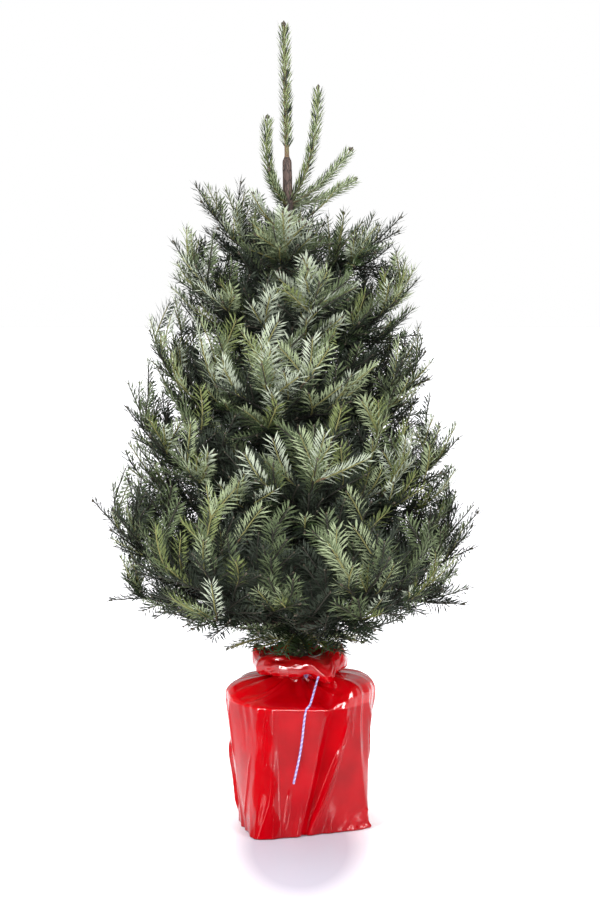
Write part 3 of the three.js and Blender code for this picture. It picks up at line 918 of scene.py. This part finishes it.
def buildTrunk():
    low, high = trunkRings[0, 2], trunkRings[-1, 2]
    z = np.linspace(low, high, int((high - low) / barkSetup["ringEvery"]))
    centre = trunkAt(z)
    radius = np.interp(z, trunkRings[:, 2], trunkRings[:, 3])
    for whorl in whorls:
        radius = radius + barkSetup["collar"] * np.exp(-((z - whorl) / (9 * mm)) ** 2)
    turn = np.arange(barkSetup["sides"]) * 2 * math.pi / barkSetup["sides"]
    out = np.stack([np.cos(turn), np.sin(turn), 0 * turn], 1)
    surface = centre[:, None] + radius[:, None, None] * out[None]
    stretched = surface * (1, 1, 0.3)
    relief = roughen(stretched.reshape(-1, 3), 9 * mm) * 0.6 + roughen(surface.reshape(-1, 3), 5 * mm) * 0.4
    depth = barkSetup["relief"] * np.clip(radius / (14 * mm), 0.15, 1)
    surface = surface + (relief.reshape(len(z), -1) * depth[:, None])[..., None] * out[None]
    tops = [centre[0] + up * 0, centre[-1] + up * 0.5 * mm]
    verts = np.concatenate([surface.reshape(-1, 3), tops])
    sides, rings = barkSetup["sides"], len(z)
    quads = ringFaces(rings, sides)
    ring, nextRing = np.arange(sides), (np.arange(sides) + 1) % sides
    last = (rings - 1) * sides
    foot = np.stack([nextRing, ring, np.full(sides, rings * sides)], -1)
    cap = np.stack([last + ring, last + nextRing, np.full(sides, rings * sides + 1)], -1)
    loops = np.concatenate([quads.ravel(), foot.ravel(), cap.ravel()])
    counts = [4] * (quads.size // 4) + [3] * (2 * sides)
    onLeader = (z[:-1] > leaderFoot - 2 * mm).astype(int)
    slots = np.concatenate([np.repeat(onLeader, sides), np.zeros(sides), np.ones(sides)])
    return joinedMesh("trunk_bark", verts, counts, loops, [oldBark, youngBark], slots, smooth=True)


def buildBoughs():
    paths, radii = [], []
    names = sorted(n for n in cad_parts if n.startswith("bough_"))
    for name in names:
        start, end, startRadius, endRadius = limbEnds(name)
        t = np.linspace(0, 1, barkSetup["limbPoints"])[:, None]
        path = trunkAt(start[2]) * (1 - t) + (end + unit(end - start) * 3 * mm) * t
        sway = square(dice.normal(0, 1, 3), unit(end - start)) * rng.uniform(1, 2.4) * mm
        path = path + np.sin(t * math.pi * 1.5) * sway
        swell = 1 + 0.35 * np.exp(-(np.linalg.norm(path - path[0], axis=1) / (20 * mm)) ** 2)
        paths.append(path)
        radii.append((startRadius + (endRadius - startRadius) * t[:, 0]) * swell)
    paths, radii = np.stack(paths), np.stack(radii)
    along = np.stack([tangents(p) for p in paths])
    upper = square(up + 0 * along, along)
    verts, pattern, faceCounts, _ = tubes(paths, along, upper, radii, barkSetup["limbSides"])
    flat = verts.reshape(-1, 3)
    centres = np.concatenate([np.repeat(paths, barkSetup["limbSides"], axis=1), paths[:, -1:]], 1)
    out = unit(flat - centres.reshape(-1, 3))
    flat = flat + out * (roughen(flat, 6 * mm) * barkSetup["limbRelief"])[:, None]
    loops = (np.arange(len(paths))[:, None] * verts.shape[1] + pattern).ravel()
    piece = joinedMesh("bough_bark", flat, np.tile(faceCounts, len(paths)), loops, [oldBark], smooth=True)
    return piece, names


handOver(buildTrunk(), "bark", "trunk")
piece, names = buildBoughs()
handOver(piece, "bark", *names)
print("the trunk and boughs have bark")


filmSetup = {
    # lit and shaded copies of one film, each with two reds that run into each other and how strongly it
    # mirrors the room: where the film lies on the dark pot; painted light where light seems to come through
    # its folds ("lit", azimuths at the rim), a clear red that hardly mirrors; and where it is gathered, a
    # brighter red as painted light over the crown's shade
    "reds": {"OnPot": ("#ae020f", "#98010b", 0.2), "Folds": ("#b0000a", "#9e0009", 0.03),
             "Gathered": ("#c2000b", "#ae0009", 0.5)},
    "relief": 1.3,                 # a factor on all the long folds below
    "lit": ((236, 249), (289, 308), (9, 19), (36, 50), (90, 104), (147, 160), (182, 193)),
    "litWander": 11,               # degrees that the edges of those lit folds wander by, up the wall
    "roughness": 0.09,
    "rounding": 2,                 # how often the ridges of the folds are smoothed
    "columns": 480, "wallEvery": 2.9 * mm,
    "flatFront": (256, 36, 64),    # azimuth of the flat part of the shoulder, and where it ends on each side
    "chord": 0.8,                  # how flat the film lies between its folds: 0 round, 1 flat
    # long folds down the wall: azimuth at the rim and at the hem, and stand-out in mm at rim, middle and hem
    "folds": [
        (200, 196, 1.0, 0.5, 0.0), (220, 212, -1.0, -1.0, 0.0), (236, 233, 1.5, 2.0, 0.5),
        (242, 240, -1.5, -3.0, 0.0), (249, 251, 2.0, 3.0, 2.0), (253, 255, -1.0, -2.5, -1.0),
        (280, 264, -0.5, 1.0, 0.5), (289, 269.5, 1.5, 3.0, 1.5), (296, 272.5, -3.0, -7.0, -3.5),
        (303.5, 275.5, 1.0, -1.0, -1.5), (308, 278.5, 3.0, 5.5, 2.5), (314, 288, -2.0, -1.5, 0.0),
        (323, 333, 2.5, 2.0, 1.0), (329, 339, -2.0, -2.5, 0.0),
        (338, 345, 1.5, 1.0, 0.0), (353, 355, 0.0, -2.0, 0.5), (10, 6, 2.0, 2.5, 0.5),
        (19, 18, -2.5, -4.0, -1.0), (31, 36, 1.5, 2.0, 1.0), (55, 49, -1.0, -3.0, 0.0),
        (68, 74, 2.0, 3.0, 1.0), (77, 83, -2.5, -4.5, -2.0), (88, 87, 1.5, 2.5, 1.0),
        (108, 115, -1.0, -2.0, 0.5), (126, 121, 2.0, 3.0, 0.5), (133, 134, -2.0, -4.0, -1.5),
        (143, 151, 1.5, 2.0, 1.0), (163, 160, -1.0, -2.5, 0.0), (181, 173, 1.5, 2.0, 0.5),
    ],
    # sharp creases that draw thin lines of light: azimuth at the rim and at the hem, the shares of the wall's
    # height that they run between, and how far they stand out in mm
    "creases": [
        (243, 235, 0.97, 0.5, 3.5), (233, 214, 0.64, 0.06, 3.0), (311, 277, 0.94, 0.03, 4.5),
        (317, 280, 0.8, 0.04, 3.5), (314, 313, 1.0, 0.72, 3.0), (338, 352, 1.0, 0.45, 3.0),
        (262, 257, 0.4, 0.03, 2.5), (20, 28, 0.95, 0.4, 3.5), (62, 50, 0.9, 0.2, 4.0),
        (100, 112, 0.8, 0.1, 3.5), (137, 128, 1.0, 0.4, 3.5), (170, 182, 0.7, 0.05, 4.0),
        (197, 190, 1.0, 0.5, 3.0),
    ],
    "creaseWidth": 1.3,            # degrees from the top of such a crease to the foot of its flank
    "neckPleats": 34, "rimPleats": 34, "hemPleats": 26, "ruffFolds": 20, "ruffFacets": 15,
    "seed": 7,
    "potFoot": 102 * mm,           # the pot's radius at its foot
    "slack": 1.2 * mm,             # between the pot and the film
    # azimuth and stand-out in mm of the creases on the shoulder that run together at the string
    "shoulderCreases": ((214, 4.5), (226, 3.5), (292, -6.5), (303, 5.0), (311, -5.5), (324, 4.5)),
    # azimuth, half width in degrees and lift in mm of the flaps that stand up from the ruff
    "flaps": ((172, 15, 14), (28, 17, 13), (95, 20, 9), (348, 9, 6)),
}


stringSetup = {
    "strand": 1.15 * mm, "offset": 0.9 * mm, "lay": 8 * mm, "sides": 6, "every": 1.1 * mm,
    # the pale streak colour of the light strand is a painted sheen
    "turns": 2.6, "light": "#a79bd8", "dark": "#5c4fa6", "paintedSheen": "#ddd6f5",
    "standOff": 1.9 * mm,          # from the film to the middle of the loose tail
    "bandRadius": 44.5 * mm,
    "knotAt": 285, "knotRadius": 47 * mm, "knotSize": 1.7 * mm,   # the knot's azimuth is in degrees
}


def filmMaterial(name, red, deepRed, gloss):
    # polypropylene film, cast and glossy: clear highlights along its creases, a faint crinkle between them
    material, tree, shader = shaderOf(f"polypropyleneFilm{name}", {
        "Roughness": filmSetup["roughness"], "IOR": 1.49, "Specular IOR Level": gloss})
    coordinates = addNode(tree, "ShaderNodeTexCoord")
    cloud = addNode(tree, "ShaderNodeTexNoise", {"Scale": 1000 / 60, "Detail": 3.0},
                    {"Vector": (coordinates, "Object")})
    tint = addNode(tree, "ShaderNodeValToRGB", links={"Fac": (cloud, "Fac")})
    tint.color_ramp.elements[0].position, tint.color_ramp.elements[1].position = 0.35, 0.62
    tint.color_ramp.elements[0].color = linearColour(deepRed)
    tint.color_ramp.elements[1].color = linearColour(red)
    tree.links.new(tint.outputs["Color"], shader.inputs["Base Color"])
    crinkle = addNode(tree, "ShaderNodeTexNoise", {"Scale": 1000 / 16, "Detail": 3.0, "Distortion": 0.6},
                      {"Vector": (coordinates, "Object")})
    bump = addNode(tree, "ShaderNodeBump", {"Strength": 0.25, "Distance": 0.5 * mm},
                   {"Height": (crinkle, "Fac")})
    tree.links.new(bump.outputs["Normal"], shader.inputs["Normal"])
    return material


def turnFrom(angle, middle):
    return (angle - middle + 180) % 360 - 180


def outerEdge(corners):
    # the convex outline of some corners seen from above, with points close together along it
    points = sorted(set(map(tuple, corners[:, :2].round(5))))
    chain = []
    for run in (points, points[::-1]):
        first = len(chain)
        for point in run:
            while len(chain) > first + 1:
                before, last = np.array(chain[-2:])
                if np.cross(last - before, np.array(point) - last) > 0:
                    break
                chain.pop()
            chain.append(point)
        chain.pop()
    chain = np.array(chain)
    t = np.linspace(0, 1, 24, endpoint=False)[None, :, None]
    return (chain[:, None] * (1 - t) + np.roll(chain, -1, axis=0)[:, None] * t).reshape(-1, 2)


def outlineRadius(corners, azimuth):
    # how far that outline is from the pot's middle at each azimuth, in degrees
    turn = np.degrees(np.arctan2(corners[:, 1], corners[:, 0])) % 360
    reach = np.linalg.norm(corners, axis=1)
    order = np.argsort(turn)
    turn, reach = turn[order], reach[order]
    return np.interp(azimuth % 360, np.concatenate([turn - 360, turn, turn + 360]), np.tile(reach, 3))


potCorners = nodeMesh("pot")[0]
footCorners = nodeMesh("film_foot")[0]
rimZ = potCorners[:, 2].max()
rimRadius = np.linalg.norm(potCorners[potCorners[:, 2] > rimZ - 1 * mm][:, :2], axis=1).max()
hemReach = outerEdge(footCorners[footCorners[:, 2] < footCorners[:, 2].min() + 3 * mm])


def foldTable(share):
    # azimuth and stand-out of every long fold at a share of the wall's height, 0 at the hem
    rows = []
    for rim, hem, outRim, outMiddle, outHem in filmSetup["folds"]:
        bend = math.sin(share * math.pi) * 0.12 * turnFrom(rim, hem)
        azimuth = hem + turnFrom(rim, hem) * share + bend
        out = np.interp(share, (0, 0.5, 1), (outHem, outMiddle, outRim))
        rows.append((azimuth % 360, out * filmSetup["relief"] * mm))
    return rows


def wallRing(share, z):
    # one ring of the wall: azimuths that follow the folds, and the radius at each
    rows = foldTable(share)
    potRadius = np.interp(z, (0, rimZ), (filmSetup["potFoot"], rimRadius))
    azimuths, radii = [], []
    for k, columns in enumerate(columnsPerPanel):
        (a, outA), (b, outB) = rows[k], rows[(k + 1) % len(rows)]
        span = (b - a) % 360
        t = np.arange(columns) / columns
        ends = []
        for angle, out in ((a, outA), (b, outB)):
            hem = outlineRadius(hemReach, np.array([angle]))[0]
            spread = (hem - filmSetup["potFoot"]) * (1 - share) ** 1.35
            ends.append(potRadius + spread + out + filmSetup["slack"])
        # the radius of a straight line between the two folds, seen from the pot's middle
        turn = np.radians(span * t)
        farX, farY = ends[1] * math.cos(math.radians(span)), ends[1] * math.sin(math.radians(span))
        flat = ends[0] * farY / (np.cos(turn) * farY - np.sin(turn) * (farX - ends[0]) + 1e-12)
        smooth = ends[0] + (ends[1] - ends[0]) * t
        radii.append(smooth + (flat - smooth) * filmSetup["chord"])
        azimuths.append(a + span * t)
    return np.concatenate(azimuths), np.concatenate(radii)


def tent(distance, width):
    return np.maximum(0, 1 - np.abs(distance) / width)


def bell(distance, width):
    return np.exp(-(distance / width) ** 2)


def shoulderProfile(t, puff):
    # radius and height from the rim, t 0, to the neck, t 1, between the film's flat and its puffed-up parts
    flat = np.array([(125, 216), (121, 219.5), (109, 222.5), (94, 226), (78, 231), (61, 240), (45, 252)])
    full = np.array([(125, 216), (127, 233), (122.5, 247), (109, 255), (89, 259), (67, 260), (46, 257)])
    steps = np.linspace(0, 1, len(flat))
    low, high = between(t, steps, flat), between(t, steps, full)
    return (low + (high - low) * puff[..., None]) * mm


def ruffProfile(t):
    # radius and height from the neck, t 0, out over the ruff and in to its gathered mouth, t 1
    rows = np.array([(42, 253), (48, 256), (62, 257.5), (74, 260), (80, 266), (81, 275), (78, 284), (72, 291),
                     (63, 294), (53, 294), (44, 291), (34, 286), (23, 279)])
    return between(t, np.linspace(0, 1, len(rows)), rows) * mm


def softened(values, passes):
    # smooths down the rows, the ends kept
    for _ in range(passes):
        values[1:-1] = (values[:-2] + 2 * values[1:-1] + values[2:]) / 4
    return values


count = len(filmSetup["folds"])
firstRows = foldTable(0.5)
spans = np.array([(firstRows[(k + 1) % count][0] - firstRows[k][0]) % 360 for k in range(count)])
columnsPerPanel = np.maximum(4, np.round(spans / 360 * filmSetup["columns"])).astype(int)


def buildFilm():
    dice = np.random.default_rng(filmSetup["seed"])
    wallRows = int(rimZ / filmSetup["wallEvery"])
    shares = np.linspace(0, 1, wallRows)
    rings = []
    for share in shares:
        azimuth, radius = wallRing(share, share * rimZ)
        rings.append(np.stack([radius, np.full(len(radius), max(share * rimZ, 0.6 * mm)), azimuth], -1))
    wall = np.array(rings)                                   # rows of radius, height and azimuth
    azimuth = wall[..., 2]
    # short creases that run down from the rim and up from the hem
    for number, top in ((filmSetup["rimPleats"], True), (filmSetup["hemPleats"], False)):
        for _ in range(number):
            middle, lean = dice.uniform(0, 360), dice.uniform(-14, 14)
            length, height = dice.uniform(0.1, 0.5), dice.uniform(-3.2, 4.2) * mm
            along = (1 - shares if top else shares)[:, None] / length
            fade = np.clip(1 - along, 0, 1)
            wall[..., 0] += height * fade * tent(turnFrom(azimuth, middle + lean * along), 1.6 + 3.4 * fade)
    # the crumpled front corner, then a slow unevenness all over
    corner = bell(turnFrom(azimuth, 330), 13) * np.clip(1 - shares / 0.24, 0, 1)[:, None]
    spots = np.stack([wall[..., 0] * np.cos(np.radians(azimuth)), wall[..., 0] * np.sin(np.radians(azimuth)),
                      wall[..., 1]], -1).reshape(-1, 3)
    wall[..., 0] += corner * roughen(spots, 17 * mm).reshape(azimuth.shape) * 5 * mm
    swell = np.array([noise.noise(Vector(spot / (46 * mm))) for spot in spots])
    wall[..., 0] += swell.reshape(azimuth.shape) * 1.6 * mm
    for _ in range(filmSetup["rounding"]):   # the ridges are round enough to draw a line of light
        wall[..., 0] = (np.roll(wall[..., 0], 1, 1) + 2 * wall[..., 0] + np.roll(wall[..., 0], -1, 1)) / 4
    for rim, hem, high, low, out in filmSetup["creases"]:
        middle = (hem + turnFrom(rim, hem) * shares + 3 * np.sin(shares * math.pi))[:, None]
        fade = (smoothStep(low, low + 0.12, shares) * (1 - smoothStep(high - 0.12, high, shares)))[:, None]
        wall[..., 0] += out * mm * fade * bell(turnFrom(azimuth, middle), filmSetup["creaseWidth"])

    rimAzimuth, rimFold = wall[-1, :, 2], wall[-1, :, 0] - rimRadius
    middle, near, far = filmSetup["flatFront"]
    puff = smoothStep(near, far, np.abs(turnFrom(rimAzimuth, middle)))
    puff = puff * (0.82 + 0.18 * np.cos(np.radians(rimAzimuth + 20)))
    t = np.linspace(0, 1, 44)[1:]
    shoulder = shoulderProfile(t[:, None], np.tile(puff, (len(t), 1)))
    shoulder = softened(shoulder, 3)
    shoulder[..., 0] += rimFold * np.clip(1 - t * 1.6, 0, 1)[:, None]
    ridges = np.zeros(shoulder.shape[:2])
    for _ in range(filmSetup["neckPleats"]):
        where, lean = dice.uniform(0, 360), dice.uniform(-16, 16)
        start, height = dice.uniform(-0.3, 0.6), dice.uniform(1.6, 4.6) * mm * dice.choice((-1, 1, 1))
        grow = smoothStep(start, start + 0.5, t)[:, None]
        line = where + lean * (1 - t[:, None])
        ridges += height * grow * tent(turnFrom(rimAzimuth, line), 4 + 6 * t[:, None])
    for where, height in filmSetup["shoulderCreases"]:
        line = where + (stringSetup["knotAt"] - where) * 0.35 * t[:, None] ** 2
        grow = 0.35 + 0.65 * t[:, None]
        ridges += height * mm * grow * tent(turnFrom(rimAzimuth, line), 4.5 + 3 * t[:, None])
    flatPart = (1 - puff)[None]
    rise = np.sin(np.clip(t * 3, 0, 1) * math.pi / 2)[:, None]
    shoulder[..., 1] += ridges * (0.35 + 0.65 * flatPart) * rise
    shoulder[..., 0] += ridges * 0.3 * (1 - flatPart)

    w = np.linspace(0, 1, 64)[1:]
    ruff = np.tile(ruffProfile(w)[:, None], (1, len(rimAzimuth), 1))
    turn = np.radians(rimAzimuth)[None]
    body = smoothStep(0.04, 0.25, w)[:, None]
    outer = body * (1 - smoothStep(0.72, 1, w)[:, None])
    # flat facets between creases that lean as they climb
    lines = np.sort(dice.uniform(0, 360, filmSetup["ruffFacets"]))
    leans, swells = dice.uniform(-20, 20, len(lines)), dice.uniform(-7.5, 4.5, len(lines)) * mm
    lifts = dice.uniform(-5, 5, len(lines)) * mm
    for row, level in enumerate(w):
        shifted = lines + leans * (level - 0.3)
        order = np.argsort(shifted % 360)
        ring = (shifted % 360)[order]
        wrapped = np.concatenate([ring - 360, ring, ring + 360])
        ruff[row, :, 0] += body[row] * np.interp(rimAzimuth % 360, wrapped, np.tile(swells[order], 3))
        ruff[row, :, 1] += outer[row] * np.interp(rimAzimuth % 360, wrapped, np.tile(lifts[order], 3))
    ruff[..., 0] *= 1 + body * 0.03 * np.sin(5 * turn + 0.6)
    # one side droops, and the knot pulls a hollow into the front
    droop = bell(turnFrom(rimAzimuth, 309), 17)[None] * np.sin(np.clip(w / 0.8, 0, 1) * math.pi)[:, None]
    ruff[..., 1] -= droop * 15 * mm
    ruff[..., 0] += droop * 5 * mm
    hollow = bell(turnFrom(rimAzimuth, 284), 10)[None] * bell(w - 0.2, 0.13)[:, None]
    ruff[..., 0] -= hollow * 17 * mm
    ruff[..., 1] += hollow * 5 * mm
    for where, wide, height in filmSetup["flaps"]:
        flap = bell(turnFrom(rimAzimuth, where), wide)[None] * bell(w - 0.58, 0.16)[:, None]
        ruff[..., 1] += flap * height * mm
        ruff[..., 0] += flap * 0.35 * height * mm
    for _ in range(filmSetup["ruffFolds"]):   # creases that run round and across the ruff
        where, level = dice.uniform(0, 360), dice.uniform(0.15, 0.75)
        slope, reach = dice.uniform(-0.009, 0.009), dice.uniform(14, 42)
        height = dice.uniform(1.5, 4.0) * mm * dice.choice((-1, 1))
        gap = turnFrom(rimAzimuth, where)[None]
        crease = tent(w[:, None] - level - slope * gap, 0.07) * tent(gap, reach)
        ruff[..., 0] += crease * height
        ruff[..., 1] += crease * height * 0.4
    gather = np.abs(np.sin(turn * 11 + 1.5 * np.sin(turn * 3))) * (1 - smoothStep(0.1, 0.5, w))[:, None]
    ruff[..., 0] -= outer * gather * 3 * mm

    rz = np.concatenate([wall[..., :2], shoulder, ruff])
    edge = slice(wallRows - 4, wallRows + 4)
    rz[edge] = softened(rz[edge], 3)
    around = np.radians(np.concatenate([azimuth, np.tile(rimAzimuth, (len(t) + len(w), 1))]))
    trunkShift = trunkAt(rz[..., 1])[..., :2] * smoothStep(rimZ, rimZ + 40 * mm, rz[..., 1])[..., None]
    surface = np.stack([rz[..., 0] * np.cos(around) + trunkShift[..., 0],
                        rz[..., 0] * np.sin(around) + trunkShift[..., 1], rz[..., 1]], -1)
    # the bottom, closed by rings that shrink to the middle
    bottom = [surface[0] * (s, s, 0) + (0, 0, 0.5 * mm) for s in (0.04, 0.35, 0.7, 0.93, 0.985)]
    surface = np.concatenate([bottom, surface])
    rows, columns = surface.shape[:2]
    quads = ringFaces(rows, columns)
    loops = np.concatenate([quads.ravel(), np.arange(columns)[::-1]])
    counts = [4] * (quads.size // 4) + [columns]
    # the shoulder and ruff take the gathered red, brighter as painted light over the crown's shade; the bottom
    # and wall take the red for film on the pot
    slots = np.full((rows - 1, columns), 2)
    slots[:len(bottom) + wallRows - 1] = 0
    # painted light: the lit bands of the wall take the clear red that hardly mirrors, as if light came through
    # the folds
    for band, ends in enumerate(filmSetup["lit"]):
        for row, height in enumerate(shares[:-1] * rimZ):
            wander = [noise.noise(Vector((height / (55 * mm), 3.7 * band, end))) for end in ends]
            first, last = (end + filmSetup["litWander"] * by for end, by in zip(ends, wander))
            lit = (turnFrom(rimAzimuth, first) > 0) & (turnFrom(rimAzimuth, last) < 0)
            slots[len(bottom) + row, lit] = 1
    slots = np.append(slots.ravel(), 0)
    materials = [filmMaterial(name, *reds) for name, reds in filmSetup["reds"].items()]
    piece = joinedMesh("film_wrap", surface.reshape(-1, 3), counts, loops, materials, slots, smooth=True)
    print("film_wrap", rows, "rows of", columns)
    return piece


film = buildFilm()
handOver(film, "film", "pot", "film_foot", "film_shoulder", "film_ruff")


def stringMaterial(name, colour, other):
    # polypropylene twine, split into fibres and twisted: slightly glossy, with fine streaks along the strands;
    # the pale streaks on the light strand are a painted sheen
    material, tree, shader = shaderOf(name, {"Roughness": 0.42})
    coordinates = addNode(tree, "ShaderNodeTexCoord")
    streak = addNode(tree, "ShaderNodeTexNoise", {"Scale": 1000 / 1.6, "Detail": 2.0},
                     {"Vector": (coordinates, "Object")})
    tint = addNode(tree, "ShaderNodeValToRGB", links={"Fac": (streak, "Fac")})
    tint.color_ramp.elements[0].position, tint.color_ramp.elements[1].position = 0.4, 0.6
    tint.color_ramp.elements[0].color = linearColour(other)
    tint.color_ramp.elements[1].color = linearColour(colour)
    tree.links.new(tint.outputs["Color"], shader.inputs["Base Color"])
    bump = addNode(tree, "ShaderNodeBump", {"Strength": 0.5, "Distance": 0.2 * mm},
                   {"Height": (streak, "Fac")})
    tree.links.new(bump.outputs["Normal"], shader.inputs["Normal"])
    return material


def evenly(path, step):
    run = lengthAlong(path)
    spots = np.linspace(0, run[-1], max(4, int(run[-1] / step)))
    return between(spots, run, path)


def twine(name, path, materials):
    path = evenly(path, stringSetup["every"])
    along = tangents(path)
    side = square(np.array([0.31, 0.22, 0.93]) + 0 * along, along)
    third = np.cross(along, side)
    turn = lengthAlong(path) / stringSetup["lay"] * 2 * math.pi
    strands = []
    for phase in (0, math.pi):
        strands.append(path + stringSetup["offset"] * (np.cos(turn + phase)[:, None] * side
                                                       + np.sin(turn + phase)[:, None] * third))
    strands = np.stack(strands)
    ways = np.stack([tangents(s) for s in strands])
    radius = np.full(strands.shape[:2], stringSetup["strand"])
    slots = np.repeat(np.arange(2)[:, None], len(path), axis=1)
    verts, pattern, counts, slots = tubes(strands, ways, square(side[None] + 0 * ways, ways), radius,
                                          stringSetup["sides"], slots)
    loops = (np.arange(2)[:, None] * verts.shape[1] + pattern).ravel()
    return joinedMesh(name, verts.reshape(-1, 3), np.tile(counts, 2), loops, materials, slots.ravel(),
                      smooth=True)


# the light strand is streaked with a painted sheen
stringMaterials = [stringMaterial("twineLight", stringSetup["light"], stringSetup["paintedSheen"]),
                   stringMaterial("twineDark", stringSetup["dark"], stringSetup["light"])]
filmSurface = BVHTree.FromObject(film, bpy.context.evaluated_depsgraph_get())
# the loose tail lies on the film, along the CAD tail
tailCorners = nodeMesh("tie_tail")[0]
order = np.argsort(np.linalg.norm(tailCorners[:, :2], axis=1) - tailCorners[:, 2])
tailPath = np.array([tailCorners[chunk].mean(0) for chunk in np.array_split(order, 17)])
laid = []
for point in evenly(tailPath, 4 * mm):
    near, normal, _, _ = filmSurface.find_nearest(Vector(point))
    outward = Vector((point[0], point[1], 0)).normalized()
    hit, hitNormal, _, _ = filmSurface.ray_cast(Vector(point) + outward * 0.1, -outward)
    if hit and point[2] < rimZ - 2 * mm:
        near, normal = hit, hitNormal
    if normal.dot(outward + Vector(up)) <= 0:
        normal = -normal
    laid.append(np.array(near) + np.array(normal) * stringSetup["standOff"])
laid = softened(np.array(laid), 9)
handOver(twine("string_tail", laid, stringMaterials), "string", "tie_tail")
# the band climbs in a few turns round the film's neck
bandCorners = nodeMesh("tie_band")[0]
bandZ, bandHeight = bandCorners[:, 2].mean(), np.ptp(bandCorners[:, 2])
bandMiddle = trunkAt(bandZ)
angle = np.radians(stringSetup["knotAt"]) + np.linspace(0, stringSetup["turns"] * 2 * math.pi, 400)
climb = np.linspace(-0.35, 0.35, 400) * bandHeight
band = np.stack([bandMiddle[0] + stringSetup["bandRadius"] * np.cos(angle),
                 bandMiddle[1] + stringSetup["bandRadius"] * np.sin(angle), bandZ + climb], 1)
handOver(twine("string_band", band, stringMaterials), "string", "tie_band")
# the knot is a trefoil
knotTurn = np.linspace(0, 2 * math.pi, 120)
knot = np.stack([np.sin(knotTurn) + 2 * np.sin(2 * knotTurn), np.cos(knotTurn) - 2 * np.cos(2 * knotTurn),
                 -np.sin(3 * knotTurn)], 1) * stringSetup["knotSize"]
knotAngle = math.radians(stringSetup["knotAt"])
outward = np.array([math.cos(knotAngle), math.sin(knotAngle), 0])
across = np.array([-outward[1], outward[0], 0])
knotMiddle = bandMiddle + outward * stringSetup["knotRadius"]
knot = knotMiddle + knot[:, :1] * across + knot[:, 1:2] * up + knot[:, 2:] * outward
handOver(twine("string_knot", knot, stringMaterials), "string")
print("the film is tied")
